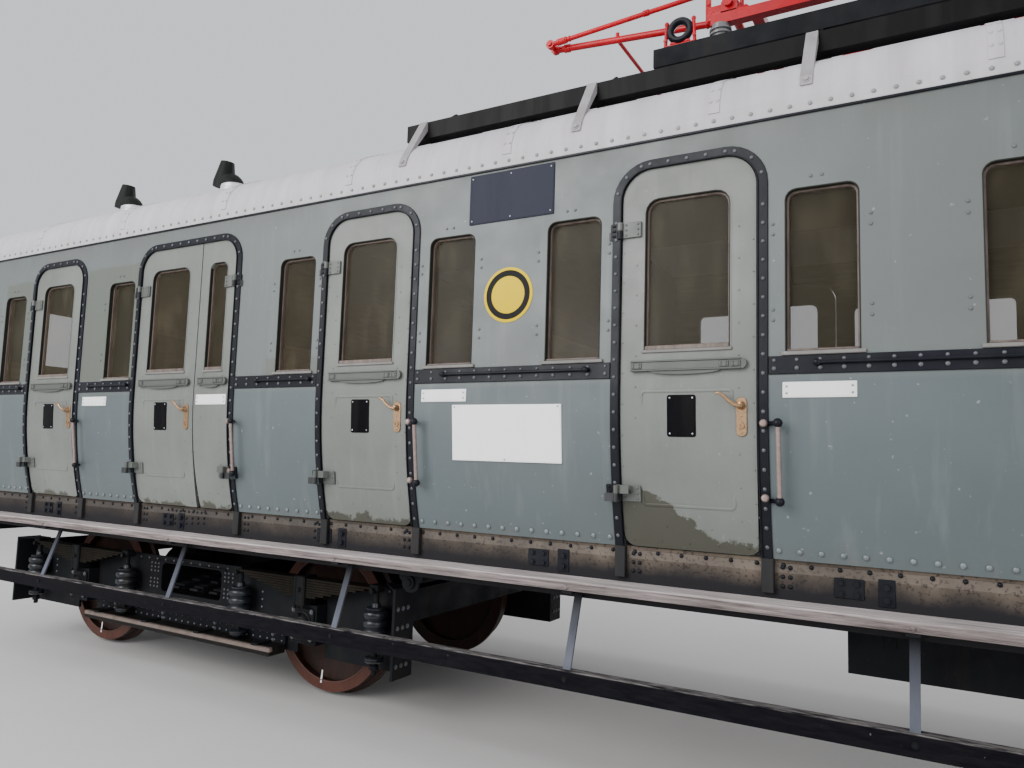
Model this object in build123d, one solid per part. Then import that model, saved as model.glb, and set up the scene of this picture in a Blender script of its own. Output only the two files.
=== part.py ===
from build123d import *
import math
import os

# Electric passenger railcar with a door to every compartment, on two four-wheeled bogies.
# Millimetres. X runs along the car, Y across it, Z up. The side with y below zero is the near side.
# Heights are written above the rail head, and every piece is lifted by the flange depth when it is
# stored, so that the wheel flanges touch the plane z = 0.

os.makedirs("parts", exist_ok=True)

# Rooms along the car, from the left end: end compartment, lobby, five compartments, luggage room, cab
compartment_pitch = 1977.5
end_room_length = 2080.0
lobby_length = 1290.0
luggage_length = 1182.0
cab_length = 1640.0
end_wall = 60.0
body_length = 5 * compartment_pitch + end_room_length + lobby_length + luggage_length + cab_length + 2 * end_wall
end_x = body_length / 2
inner_end = end_x - end_wall
lobby_wall = end_room_length - inner_end
first_wall = lobby_wall + lobby_length
cab_wall = inner_end - cab_length
luggage_wall = cab_wall - luggage_length
middle_door = first_wall + 2.5 * compartment_pitch

# Body shell
half_width = 1450.0
wall = 65.0
sole_height = 1239.0
tumble_top = 2050.0
tumble_radius = 3180.0
wall_top = 3263.0
roof_edge = 77.0
roof_edge_top = wall_top + roof_edge
roof_radius = 2800.0
roof_corner = 250.0
roof_thickness = 45.0
floor_thickness = 60.0
floor_half_width = 1322.0

# Windows beside the doors
window_width = 312.0
window_bottom = 2165.0
window_top = 2913.0
window_corner = 50.0
pane_thickness = 6.0
pane_depth = 38.0
end_window_width = 520.0
end_window_centre = 700.0

# Doors
door_opening = 672.0
door_gap = 8.0
door_thickness = 45.0
door_top = 3113.0
door_sill = 1244.0
door_corner = 150.0
door_foot_corner = 60.0
door_window_width = 420.0
door_window_bottom = 2200.0
door_window_top = 2960.0
door_window_corner = 70.0
narrow_leaf = 355.0
narrow_window_width = 180.0
hinge_stand_off = 18.0
hinge_radius = 13.0
hinge_length = 40.0
hinge_reach = 62.0
hinge_heights = (1500.0, 2810.0)
face_gap = 0.3

# Doors along the car: name, centre, kind
end_door_offset = 1013.5
double_door_offset = 588.0
cab_door_offset = 574.0
door_table = (
    ("1", lobby_wall - end_door_offset, "single"),
    ("2", lobby_wall + double_door_offset, "double"),
    ("3", middle_door - 2 * compartment_pitch, "single"),
    ("4", middle_door - compartment_pitch, "single"),
    ("5", middle_door, "single"),
    ("6", middle_door + compartment_pitch, "single"),
    ("7", middle_door + 2 * compartment_pitch, "single"),
    ("8", cab_wall + cab_door_offset, "single"),
)
window_left_offset = 600.0
window_right_offset = 610.0
end_window_offset = 425.0
lobby_window_offset = 170.0
luggage_window_offset = 482.0
compartment_doors = [middle_door + place * compartment_pitch for place in (-2, -1, 0, 1, 2)]
window_centres = (
    [door - window_left_offset for door in compartment_doors]
    + [door + window_right_offset for door in compartment_doors]
    + [end_window_offset - inner_end, lobby_wall - lobby_window_offset, luggage_wall + luggage_window_offset,
       inner_end - end_window_offset]
)

# Inside
partition_centres = [lobby_wall, first_wall, first_wall + compartment_pitch, first_wall + 2 * compartment_pitch,
                     first_wall + 3 * compartment_pitch, first_wall + 4 * compartment_pitch, luggage_wall, cab_wall]
partition_thickness = 40.0
# A bench stands against a cross wall: face of the wall, and the side that it looks to
partition_half = partition_thickness / 2
bench_table = [(-inner_end, 1), (lobby_wall - partition_half, -1)]
for place in range(5):
    bench_table.append((first_wall + place * compartment_pitch + partition_half, 1))
    bench_table.append((first_wall + (place + 1) * compartment_pitch - partition_half, -1))
bench_half_width = 1270.0
seat_height = 430.0
seat_depth = 470.0
seat_thickness = 40.0
back_height = 1150.0
back_thickness = 30.0
bench_leg = 40.0

# Underframe
solebar_depth = 224.0
solebar_lip = 90.0
solebar_web = 12.0
headstock_thickness = 110.0
headstock_depth = 290.0
crossmember_centres = (-3900.0, -2300.0, -800.0, 800.0, 2300.0, 3900.0)
crossmember_width = 80.0
crossmember_depth = 160.0
buffer_height = 1050.0
buffer_spacing = 1750.0
buffer_case_radius = 95.0
buffer_case_length = 360.0
buffer_plate_half = 170.0
buffer_plate_thickness = 25.0
buffer_stem_radius = 62.0
buffer_head_radius = 185.0
buffer_reach = 620.0
buffer_head_thickness = 28.0
hook_thickness = 40.0
hook_reach = 330.0
hook_hole_radius = 22.0
hook_half_height = 40.0
hook_tip_rise = 60.0
hook_belly = 80.0
hook_throat = 5.0
tank_length = 2200.0
tank_half_width = 560.0
tank_depth = 420.0

# Lamps on the ends: places across the car and heights
lamp_table = ((-980.0, 1560.0), (980.0, 1560.0), (0.0, 3080.0))
lamp_radius = 95.0
lamp_depth = 110.0
lamp_rim = 110.0
lamp_rim_depth = 25.0

# Steps along the side
footboard_outer = 1500.0
footboard_top = 1060.0
footboard_thickness = 46.0
footboard_inset = 150.0
beam_outer = 1495.0
beam_top = 629.0
beam_height = 92.0
beam_flange = 60.0
beam_thickness = 8.0
strut_pitch = 1520.0
strut_count = 10
strut_width = 40.0
strut_thickness = 12.0
strut_top_inner = 1330.0
strut_foot_inner = 1462.0

# Bogies
bogie_overhang = 2394.75
wheelbase = 2550.0
wheel_radius = 500.0
flange_depth = 28.0
wheel_back_to_back = 1360.0
tyre_width = 135.0
tyre_thickness = 70.0
flange_width = 30.0
flange_root = 42.0
web_thickness = 24.0
web_dish = 30.0
hub_radius = 135.0
hub_width = 180.0
axle_radius = 75.0
journal_radius = 60.0
journal_centre = 978.0
journal_length = 200.0
side_plate_thickness = 20.0
side_plate_top = 800.0
side_plate_bottom = 280.0
side_plate_half_length = 2090.0
horn_width = 250.0
horn_top = 690.0
centre_hole_half = 345.0
centre_hole_bottom = 530.0
centre_hole_top = 750.0
guard_corner = 60.0
centre_hole_corner = 40.0
guide_half_length = 1050.0
guide_bottom = 290.0
guide_height = 120.0
guide_reach = 1008.0
plank_outer = 1150.0
plank_bottom = 270.0
plank_thickness = 50.0
plank_bracket_places = (-900.0, -300.0, 300.0, 900.0)
plank_bracket_width = 60.0
brake_gap = 10.0
brake_shoe_thickness = 50.0
brake_shoe_half_height = 110.0
brake_shoe_width = 70.0
brake_shoe_plane = 770.0
brake_arm_radius = 18.0
transom_offset = 420.0
transom_width = 120.0
transom_top = 780.0
transom_bottom = 520.0
bogie_end_depth = 200.0
bogie_end_thickness = 20.0
end_plate_outer = 1160.0
end_plate_bottom = 280.0
end_plate_top = 830.0
gusset_length = 190.0
gusset_thickness = 14.0
bolster_half_width = 260.0
bolster_bottom = 560.0
bolster_top = 850.0
bolster_spring_places = (-220.0, 0.0, 220.0)
bolster_spring_width = 90.0
bolster_spring_reach = 955.0
bolster_spring_bottom = 562.0
bolster_leaf = 16.0
bolster_leaf_steps = 6
bolster_leaf_step = 95.0
bolster_spring_clip = 12.0
centre_plate_radius = 210.0
centre_plate_thickness = 40.0
body_bolster_width = 420.0
axle_box_width = 230.0
axle_box_height = 260.0
axle_box_depth = 190.0
spring_offset = 620.0
spring_plane = 1076.0
coil_radius = 80.0
coil_bottom = 505.0
coil_top = 672.0
spring_seat = 30.0
coil_groove = 16.0
coil_gap = 9.0
coil_rings = 3
cup_radius = 60.0
cup_top = 380.0
cup_depth = 34.0
spring_rod_radius = 17.0
spring_rod_bottom = 270.0
spring_rod_clearance = 12.0
leaf_width = 90.0
leaf_thickness = 16.0
leaf_count = 8
leaf_top = 812.0
leaf_half_length = 620.0
buckle_width = 100.0
buckle_wall = 14.0
spring_cap_width = 70.0
spring_bracket_inner = journal_centre + side_plate_thickness / 2
motor_half_width = 450.0
motor_axle_gap = 95.0
motor_transom_gap = 5.0
motor_nose_half_width = 160.0
motor_nose_bottom = 560.0
motor_nose_top = 700.0

# Roof
ventilator_table = ((-7364.0, -600.0), (-5966.0, -600.0), (5966.0, -600.0), (7364.0, -600.0),
                    (-7364.0, 600.0), (-5966.0, 600.0), (5966.0, 600.0), (7364.0, 600.0))
ventilator_base_radius = 118.0
ventilator_base_height = 55.0
ventilator_base_draft = 12.0
ventilator_pipe_radius = 88.0
ventilator_bend = 92.0
hood_offset = 150.0
hood_lift = 62.0
hood_height = 225.0
hood_bottom_radius = 94.0
hood_brim = 45.0
hood_top_radius = 58.0
hood_lean = 8.0
bracket_pitch = 1155.0
bracket_count = 7
bracket_width = 55.0
bracket_thickness = 10.0
bracket_foot_inset = 18.0
bracket_lap = 60.0
channel_outer = 1240.0
channel_flange = 80.0
channel_rise = 305.0
channel_height = 105.0
channel_web = 10.0
channel_half_length = 3600.0
bearer_thickness = 12.0
bearer_rise = 60.0
foot_beam_inner = 800.0
foot_beam_width = 100.0
foot_beam_height = 110.0
foot_beam_half_length = 2080.0

# Current collector, lying folded on the roof
insulator_radius = 50.0
insulator_shed = 12.0
shed_pitch = 25.0
insulator_height = 75.0
insulator_places = (-1700.0, -700.0, 700.0, 1700.0)
base_rail = 60.0
base_cross_inset = 150.0
shaft_offset = 1650.0
shaft_rise = 50.0
shaft_radius = 24.0
shaft_half_length = 835.0
running_gap = 0.05
bearing_width = 50.0
bearing_radius = 44.0
lower_arm_length = 1184.0
lower_arm_angle = 5.0
lower_arm_plane = 690.0
lower_arm_radius = 21.0
knee_radius = 14.0
knee_half_length = 790.0
knee_pin_inner = 655.0
lower_brace_share = 0.63
lower_brace_radius = 12.0
upper_arm_angle = 7.0
upper_arm_plane = 765.0
upper_arm_tip_plane = 500.0
upper_arm_radius = 15.0
eye_radius = 28.0
eye_width = 28.0
brace_post_height = 44.0
tip_clearance = 48.0
head_shaft_half_length = 600.0
head_plane = 570.0
collector_half_length = 700.0
collector_reach = 960.0
collector_spacing = 300.0
collector_width = 60.0
collector_thickness = 22.0
collector_rise = 90.0
horn_drop = 120.0
head_foot_half = 20.0
head_foot_drop = 22.0

# Worked out from the sizes above
floor_top = sole_height
floor_bottom = floor_top - floor_thickness
solebar_bottom = floor_bottom - solebar_depth
roof_centre = roof_edge_top - math.sqrt((roof_radius - roof_corner) ** 2 - (half_width - roof_corner) ** 2)
crown = roof_centre + roof_radius
pivot_x = end_x - bogie_overhang
arch_spring = door_top - door_corner
channel_bottom = roof_edge_top + channel_rise
channel_top = channel_bottom + channel_height
bearer_top = crown + bearer_rise
foot_top = bearer_top + foot_beam_height
rail_bottom = foot_top + insulator_height
rail_top_z = rail_bottom + base_rail
shaft_height = rail_top_z + shaft_rise
motor_room = wheelbase / 2 - transom_offset - transom_width / 2 - axle_radius
motor_radius = (motor_room - motor_axle_gap - motor_transom_gap) / 2
motor_offset = axle_radius + motor_axle_gap + motor_radius
rail_y = foot_beam_inner + foot_beam_width / 2
lower_turn = math.radians(lower_arm_angle)
upper_turn = math.radians(upper_arm_angle)
knee_x = shaft_offset + lower_arm_length * math.cos(lower_turn)
knee_z = shaft_height + lower_arm_length * math.sin(lower_turn)
head_z = knee_z + knee_x * math.tan(upper_turn)


def block(x0, x1, y0, y1, z0, z1):
    # A box between two corners.
    size = Box(abs(x1 - x0), abs(y1 - y0), abs(z1 - z0))
    return Pos((x0 + x1) / 2, (y0 + y1) / 2, (z0 + z1) / 2) * size


def rod(start, end, radius):
    # A round bar between two points.
    a = Vector(*start)
    b = Vector(*end)
    return extrude(Plane(origin=a, z_dir=b - a) * Circle(radius), (b - a).length)


def upright(x, y, z0, z1, radius):
    return rod((x, y, z0), (x, y, z1), radius)


def crosswise(x, y0, y1, z, radius):
    return rod((x, y0, z), (x, y1, z), radius)


def along(face, x0, x1):
    # A section in the plane x = 0, drawn out along the car.
    return Pos(x0, 0, 0) * extrude(face, x1 - x0, dir=(1, 0, 0))


def over(face, y0, y1):
    # A side view in the plane y = 0, drawn out across the car.
    return Pos(0, y0, 0) * extrude(face, y1 - y0, dir=(0, 1, 0))


def across(points, x0, x1):
    # A closed outline of y and z points, drawn out along the car.
    face = make_face(Plane.YZ * Polyline(*points, close=True))
    return along(face, x0, x1)


def lengthwise(points, y0, y1):
    # A closed outline of x and z points, drawn out across the car.
    face = make_face(Plane.XZ * Polyline(*points, close=True))
    return over(face, y0, y1)


def mirrored(shape):
    return mirror(shape, about=Plane.XZ)


def both_sides(shapes):
    return list(shapes) + [mirrored(shape) for shape in shapes]


def write(name, shapes):
    solids = [Pos(0, 0, flange_depth) * shape for shape in shapes]
    stored = solids[0] if len(solids) == 1 else Compound(children=solids)
    export_step(stored, f"parts/{name}.step")


def skin_y(height, inset=0.0):
    # Half width of the side at a height: upright above, curving in below.
    drop = max(0.0, tumble_top - height)
    radius = tumble_radius - inset
    return half_width - tumble_radius + math.sqrt(radius ** 2 - drop ** 2)


def side_section(z0, z1, thickness):
    # Near side wall section: an upright part over an arc.
    middle = (z0 + tumble_top) / 2
    lines = [
        ThreePointArc((-skin_y(z0), z0), (-skin_y(middle), middle), (-half_width, tumble_top)),
        Line((-half_width, tumble_top), (-half_width, z1)),
        Line((-half_width, z1), (thickness - half_width, z1)),
        Line((thickness - half_width, z1), (thickness - half_width, tumble_top)),
        ThreePointArc((thickness - half_width, tumble_top), (-skin_y(middle, thickness), middle),
                      (-skin_y(z0, thickness), z0)),
        Line((-skin_y(z0, thickness), z0), (-skin_y(z0), z0)),
    ]
    return make_face([Plane.YZ * line for line in lines])


def side_panel(x0, x1, z0, z1, thickness):
    return along(side_section(z0, z1, thickness), x0, x1)


def arched_cutter(centre, width, z0, z1, corner, y0, y1):
    # Cuts an opening with round upper corners through a wall.
    half = width / 2
    outline = Polyline((-half, z1 - corner), (-half, z0), (half, z0), (half, z1 - corner))
    top = [
        RadiusArc((-half, z1 - corner), (corner - half, z1), corner),
        Line((corner - half, z1), (half - corner, z1)),
        RadiusArc((half - corner, z1), (half, z1 - corner), corner),
    ]
    face = make_face([Plane.XZ * edge for edge in outline.edges()] + [Plane.XZ * line for line in top])
    return Pos(centre, 0, 0) * over(face, y0, y1)


def rounded_outline(centre, half, z0, z1, head, foot, y0, y1):
    # A block whose outline has round corners, of one radius at the head and another at the foot.
    lines = [
        Line((-half, z0 + foot), (-half, z1 - head)),
        RadiusArc((-half, z1 - head), (head - half, z1), head),
        Line((head - half, z1), (half - head, z1)),
        RadiusArc((half - head, z1), (half, z1 - head), head),
        Line((half, z1 - head), (half, z0 + foot)),
        RadiusArc((half, z0 + foot), (half - foot, z0), foot),
        Line((half - foot, z0), (foot - half, z0)),
        RadiusArc((foot - half, z0), (-half, z0 + foot), foot),
    ]
    return Pos(centre, 0, 0) * over(make_face([Plane.XZ * line for line in lines]), y0, y1)


def opening_span(centre, kind):
    width = door_opening if kind == "single" else door_opening + narrow_leaf + door_gap
    return centre - width / 2, centre + width / 2


spans = [opening_span(centre, kind) for _, centre, kind in door_table]


# Side walls between the doors
def wall_panels():
    edges = [-end_x] + [edge for span in spans for edge in span] + [end_x]
    panels = []
    for x0, x1 in zip(edges[0::2], edges[1::2]):
        panel = side_panel(x0, x1, sole_height, arch_spring, wall)
        for centre in window_centres:
            if x0 < centre < x1:
                panel -= arched_cutter(centre, window_width, window_bottom, window_top, window_corner,
                                       -half_width - 1, wall - half_width + 1)
        panels.append(panel)
    for index, (x0, _) in enumerate(spans):
        for height in hinge_heights:
            panels[index] += hinge_half(x0, -1, height - hinge_length, wall)
    x1 = spans[1][1]
    for height in hinge_heights:
        panels[2] += hinge_half(x1, 1, height - hinge_length, wall)
    return panels


def hinge_half(x, side, z0, depth):
    # One knuckle and its plate. The plate lies on the piece that is on the given side of the axis.
    axis_y = -half_width - hinge_stand_off
    knuckle = upright(x, axis_y, z0, z0 + hinge_length, hinge_radius)
    sunk = depth / 4 - skin_y(z0)
    plate = block(x, x + side * hinge_reach, axis_y + hinge_radius / 2, sunk, z0, z0 + hinge_length)
    return knuckle + plate


def cantrail():
    # The side above the windows, with the round heads of the doorways.
    rail = block(-end_x, end_x, -half_width, wall - half_width, arch_spring, wall_top)
    for x0, x1 in spans:
        rail -= arched_cutter((x0 + x1) / 2, x1 - x0, arch_spring - 1, door_top + door_gap, door_corner + door_gap,
                              -half_width - 1, wall - half_width + 1)
    return rail


# Doors
def door_leaf(x0, x1, head_span, hinge_x, window_centre, window_size):
    # The head span is the arched head that the leaf, or a pair of leaves, fills.
    leaf = side_panel(x0, x1, door_sill - door_gap, door_top, door_thickness)
    leaf &= rounded_outline((head_span[0] + head_span[1]) / 2, (head_span[1] - head_span[0]) / 2, door_sill, door_top,
                            door_corner, door_foot_corner, -2 * half_width, 0)
    reach = max(abs(x1 - hinge_x), abs(x0 - hinge_x))
    leaf &= upright(hinge_x, -half_width - hinge_stand_off, door_sill - 1, door_top + 1, reach)
    leaf -= arched_cutter(window_centre, window_size, door_window_bottom, door_window_top,
                          door_window_corner, -half_width - 1, door_thickness - half_width + 1)
    side = 1 if hinge_x < x0 else -1
    for height in hinge_heights:
        leaf += hinge_half(hinge_x, side, height + face_gap, door_thickness)
    return leaf


def near_doors():
    leaves = {}
    for (name, centre, kind), (x0, x1) in zip(door_table, spans):
        wide_end = x0 + door_opening - door_gap
        middle = (x0 + door_gap + wide_end) / 2
        head = (x0 + door_gap, x1 - door_gap)
        leaves[f"door_{name}"] = door_leaf(x0 + door_gap, wide_end, head, x0, middle, door_window_width)
        if kind == "double":
            narrow_start = x1 - door_gap - narrow_leaf
            middle = x1 - door_gap - narrow_leaf / 2
            leaves[f"door_{name}_narrow"] = door_leaf(narrow_start, x1 - door_gap, head, x1, middle,
                                                      narrow_window_width)
    return leaves


# Roof, ends and floor
def roof_outline(inset):
    # Half section of the roof, from the eave over the corner arc to the crown.
    corner = roof_corner - inset
    radius = roof_radius - inset
    turn = math.asin((half_width - roof_corner) / (roof_radius - roof_corner))
    join = (radius * math.sin(turn), roof_centre + radius * math.cos(turn))
    half_turn = (math.pi / 2 + turn) / 2
    mid = (half_width - roof_corner + corner * math.sin(half_turn), roof_edge_top + corner * math.cos(half_turn))
    return (half_width - inset, wall_top), (half_width - inset, roof_edge_top), mid, join, (0.0, roof_centre + radius)


def roof_body(growth, length=body_length):
    # The whole space under the roof skin, grown outwards by some millimetres.
    eave, edge, mid, join, top = roof_outline(-growth)
    left = [(-y, z) for y, z in (eave, edge, mid, join)]
    lines = [
        Line(eave, edge), ThreePointArc(edge, mid, join), ThreePointArc(join, top, left[3]),
        ThreePointArc(left[3], left[2], left[1]), Line(left[1], left[0]), Line(left[0], eave),
    ]
    face = make_face([Plane.YZ * line for line in lines])
    return along(face, -length / 2, length / 2)


def roof_shape():
    return roof_body(0.0) - roof_body(-roof_thickness, body_length - 2 * end_wall)


def end_wall_shape(x0, window_places):
    middle = (sole_height + tumble_top) / 2
    points = [(skin_y(sole_height, wall), sole_height), (skin_y(middle, wall), middle),
              (half_width - wall, tumble_top), (half_width - wall, wall_top)]
    left = [(-y, z) for y, z in points]
    lines = [
        ThreePointArc(points[0], points[1], points[2]), Line(points[2], points[3]), Line(points[3], left[3]),
        Line(left[3], left[2]), ThreePointArc(left[2], left[1], left[0]), Line(left[0], points[0]),
    ]
    panel = along(make_face([Plane.YZ * line for line in lines]), x0, x0 + end_wall)
    for y in window_places:
        panel -= block(x0 - 1, x0 + end_wall + 1, y - end_window_width / 2, y + end_window_width / 2,
                       window_bottom, window_top)
    return panel


def end_lamp(side, y, z):
    # A round lamp case with a wider rim round its glass.
    x0 = side * (end_x - end_wall / 2)
    x1 = side * (end_x + lamp_depth)
    case = rod((x0, y, z), (x1, y, z), lamp_radius)
    rim = rod((side * (end_x + lamp_depth - lamp_rim_depth), y, z), (x1, y, z), lamp_rim)
    glass = rod((side * (end_x + lamp_depth - lamp_rim_depth / 2), y, z), (side * (end_x + lamp_depth + 1), y, z),
                lamp_radius)
    return case + rim - glass


end_window_places = (-end_window_centre, end_window_centre)
panels = wall_panels()
write("wall_panels_near", panels)
write("wall_panels_far", [mirrored(panel) for panel in panels])
write("cantrails", both_sides([cantrail()]))
write("roof", [roof_shape()])
ends = []
for side, x0 in ((-1, -end_x), (1, end_x - end_wall)):
    end = end_wall_shape(x0, end_window_places)
    for y, z in lamp_table:
        end += end_lamp(side, y, z)
    ends.append(end)
write("end_walls", ends)
write("floor", [block(-end_x, end_x, -floor_half_width, floor_half_width, floor_bottom, floor_top)])

for leaf_name, leaf in near_doors().items():
    write(f"{leaf_name}_near", [leaf])
    write(f"{leaf_name}_far", [mirrored(leaf)])


# Window panes
def panes():
    y0 = pane_depth - half_width
    near = [block(centre - window_width / 2, centre + window_width / 2, y0, y0 + pane_thickness,
                  window_bottom, window_top - window_corner) for centre in window_centres]
    ends = [block(side * (end_x - pane_depth) - pane_thickness / 2, side * (end_x - pane_depth) + pane_thickness / 2,
                  y - end_window_width / 2, y + end_window_width / 2, window_bottom, window_top)
            for side in (-1, 1) for y in end_window_places]
    return both_sides(near) + ends


write("window_panes", panes())


# Inside
def partition(x):
    inner = half_width - wall
    bottom = skin_y(sole_height, wall)
    middle = (sole_height + tumble_top) / 2
    lines = [
        ThreePointArc((bottom, sole_height), (skin_y(middle, wall), middle), (inner, tumble_top)),
        Line((inner, tumble_top), (inner, wall_top)), Line((inner, wall_top), (-inner, wall_top)),
        Line((-inner, wall_top), (-inner, tumble_top)),
        ThreePointArc((-inner, tumble_top), (-skin_y(middle, wall), middle), (-bottom, sole_height)),
        Line((-bottom, sole_height), (bottom, sole_height)),
    ]
    half = partition_thickness / 2
    return along(make_face([Plane.YZ * line for line in lines]), x - half, x + half)


def bench(x, facing):
    seat_top = floor_top + seat_height
    outline = [(0, floor_top), (0, floor_top + back_height), (back_thickness, floor_top + back_height),
               (back_thickness, seat_top), (seat_depth, seat_top), (seat_depth, seat_top - seat_thickness),
               (back_thickness, seat_top - seat_thickness), (back_thickness, floor_top)]
    points = [(x + facing * u, z) for u, z in outline]
    shape = lengthwise(points, -bench_half_width, bench_half_width)
    for y in (-bench_half_width + bench_leg, 0.0, bench_half_width - bench_leg):
        shape += block(x + facing * back_thickness, x + facing * (seat_depth - bench_leg), y - bench_leg / 2,
                       y + bench_leg / 2, floor_top, seat_top - seat_thickness)
    return shape


write("partitions", [partition(x) for x in partition_centres])
write("benches", [bench(x, facing) for x, facing in bench_table])


# Underframe
def channel_points(outer, inner, z0, z1, web, flange):
    # A channel with its web outside and its flanges turned in.
    return [(outer, z0), (outer, z1), (inner, z1), (inner, z1 - flange), (outer - web, z1 - flange),
            (outer - web, z0 + flange), (inner, z0 + flange), (inner, z0)]


def solebar():
    points = channel_points(floor_half_width, floor_half_width - solebar_lip, solebar_bottom, floor_bottom,
                            solebar_web, solebar_web)
    return across([(-y, z) for y, z in points], headstock_thickness - end_x, end_x - headstock_thickness)


def headstock(side):
    top = floor_bottom
    x0 = side * (end_x - headstock_thickness)
    return block(x0, side * end_x, -floor_half_width, floor_half_width, top - headstock_depth, top)


def crossmember(x):
    inner = floor_half_width - solebar_web
    return block(x - crossmember_width / 2, x + crossmember_width / 2, -inner + solebar_lip,
                 inner - solebar_lip, floor_bottom - crossmember_depth, floor_bottom)


def body_bolster(x):
    inner = floor_half_width - solebar_lip
    beam_bottom = bolster_top + centre_plate_thickness + face_gap
    beam = block(x - body_bolster_width / 2, x + body_bolster_width / 2, -inner, inner,
                 floor_bottom - crossmember_depth, floor_bottom)
    plate = upright(x, 0, beam_bottom, floor_bottom - crossmember_depth, centre_plate_radius)
    return beam + plate


def buffer(side, y):
    face = end_x + buffer_reach
    case = rod((side * end_x, y, buffer_height), (side * (end_x + buffer_case_length), y, buffer_height),
               buffer_case_radius)
    stem = rod((side * end_x, y, buffer_height), (side * face, y, buffer_height), buffer_stem_radius)
    head = rod((side * (face - buffer_head_thickness), y, buffer_height), (side * face, y, buffer_height),
               buffer_head_radius)
    half = buffer_plate_half
    plate = block(side * end_x, side * (end_x + buffer_plate_thickness), y - half, y + half,
                  floor_bottom - headstock_depth, buffer_height + half)
    return case + stem + head + plate


def draw_hook(side):
    h = buffer_height
    top = h + hook_half_height
    tip = h + hook_tip_rise
    belly = h - hook_belly
    outline = [(0, h - hook_half_height), (0, top), (hook_reach * 0.55, top), (hook_reach * 0.62, h + hook_throat),
               (hook_reach * 0.78, h - hook_throat), (hook_reach * 0.8, tip), (hook_reach, tip),
               (hook_reach, h - hook_half_height), (hook_reach * 0.85, belly), (hook_reach * 0.5, belly)]
    points = [(side * (end_x + u), z) for u, z in outline]
    hook = lengthwise(points, -hook_thickness / 2, hook_thickness / 2)
    hole_x = side * (end_x + hook_reach * 0.4)
    return hook - crosswise(hole_x, -hook_thickness, hook_thickness, h, hook_hole_radius)


write("solebars", both_sides([solebar()]))
write("headstocks", [headstock(side) for side in (-1, 1)])
write("crossmembers", [crossmember(x) for x in crossmember_centres] + [body_bolster(-pivot_x), body_bolster(pivot_x)])
write("buffers", [buffer(side, y) for side in (-1, 1) for y in (-buffer_spacing / 2, buffer_spacing / 2)])
write("draw_hooks", [draw_hook(side) for side in (-1, 1)])
write("transformer_tank", [block(-tank_length / 2, tank_length / 2, -tank_half_width, tank_half_width,
                                 floor_bottom - crossmember_depth - tank_depth,
                                 floor_bottom - crossmember_depth)])


# Steps
def footboard():
    half = end_x - footboard_inset
    return block(-half, half, -footboard_outer, -floor_half_width, footboard_top - footboard_thickness,
                 footboard_top)


def step_beam():
    half = end_x - footboard_inset
    outer = -beam_outer
    points = [(outer, beam_top - beam_height), (outer, beam_top), (outer + beam_flange, beam_top),
              (outer + beam_flange, beam_top - beam_thickness), (outer + beam_thickness, beam_top - beam_thickness),
              (outer + beam_thickness, beam_top - beam_height)]
    return across(points, -half, half)


def strut(x):
    top = footboard_top - footboard_thickness
    points = [(-strut_top_inner, top), (-strut_top_inner - strut_thickness, top),
              (-strut_foot_inner - strut_thickness, beam_top), (-strut_foot_inner, beam_top)]
    return across(points, x - strut_width / 2, x + strut_width / 2)


strut_places = [(index - (strut_count - 1) / 2) * strut_pitch for index in range(strut_count)]
write("footboards", both_sides([footboard()]))
write("step_beams", both_sides([step_beam()]))
write("step_struts", both_sides([strut(x) for x in strut_places]))


# Bogies
def wheelset(x):
    # Half profile as distance from the middle and radius, turned about the axle.
    inner = wheel_back_to_back / 2
    outer = inner + tyre_width
    rim = wheel_radius - tyre_thickness
    middle = (inner + outer) / 2
    half = [
        (0, axle_radius), (middle - hub_width / 2, axle_radius), (middle - hub_width / 2, hub_radius),
        (middle - web_thickness / 2 - web_dish, hub_radius), (middle - web_thickness / 2, rim), (inner, rim),
        (inner, wheel_radius + flange_depth), (inner + flange_width, wheel_radius + flange_depth),
        (inner + flange_root, wheel_radius), (outer, wheel_radius), (outer, rim), (middle + web_thickness / 2, rim),
        (middle + web_thickness / 2 - web_dish, hub_radius), (middle + hub_width / 2, hub_radius),
        (middle + hub_width / 2, journal_radius), (journal_centre + journal_length / 2, journal_radius),
    ]
    right = [(y, r) for y, r in half]
    left = [(-y, r) for y, r in reversed(half[1:])]
    points = [(-half[-1][0], 0)] + left + right + [(half[-1][0], 0)]
    face = make_face(Plane.YZ * Polyline(*points, close=True))
    turned = revolve(face, Axis.Y)
    return Pos(x, 0, wheel_radius) * turned


def side_plate(x, side):
    # Plate frame with axle guards, a centre opening, end plates, a guide rail, its wooden plank and brake shoes.
    half = side_plate_half_length
    axle = wheelbase / 2
    y = side * journal_centre
    cut = side_plate_thickness
    plate = block(x - half, x + half, y - cut / 2, y + cut / 2, side_plate_bottom, side_plate_top)
    for offset in (-axle, axle):
        plate -= arched_cutter(x + offset, horn_width, side_plate_bottom - cut, horn_top, guard_corner,
                               y - cut, y + cut)
    plate -= rounded_outline(x, centre_hole_half, centre_hole_bottom, centre_hole_top, centre_hole_corner,
                             centre_hole_corner, y - cut, y + cut)
    for hand in (-1, 1):
        plate += end_plate(x, side, hand)
        plate += brake_shoe(x + hand * axle, side, -hand)
    inner = journal_centre + side_plate_thickness / 2
    rail_top = guide_bottom + guide_height
    plate += block(x - guide_half_length, x + guide_half_length, side * inner, side * guide_reach, guide_bottom,
                   guide_bottom + bolster_leaf)
    plate += block(x - guide_half_length, x + guide_half_length, side * inner, side * guide_reach,
                   rail_top - bolster_leaf, rail_top)
    plate += block(x - guide_half_length, x + guide_half_length, side * (guide_reach - bolster_leaf),
                   side * guide_reach, guide_bottom, rail_top)
    for place in plank_bracket_places:
        plate += block(x + place - plank_bracket_width / 2, x + place + plank_bracket_width / 2,
                       side * (guide_reach - bolster_leaf), side * plank_outer, plank_bottom + plank_thickness,
                       plank_bottom + plank_thickness + bolster_leaf)
    return plate


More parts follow.
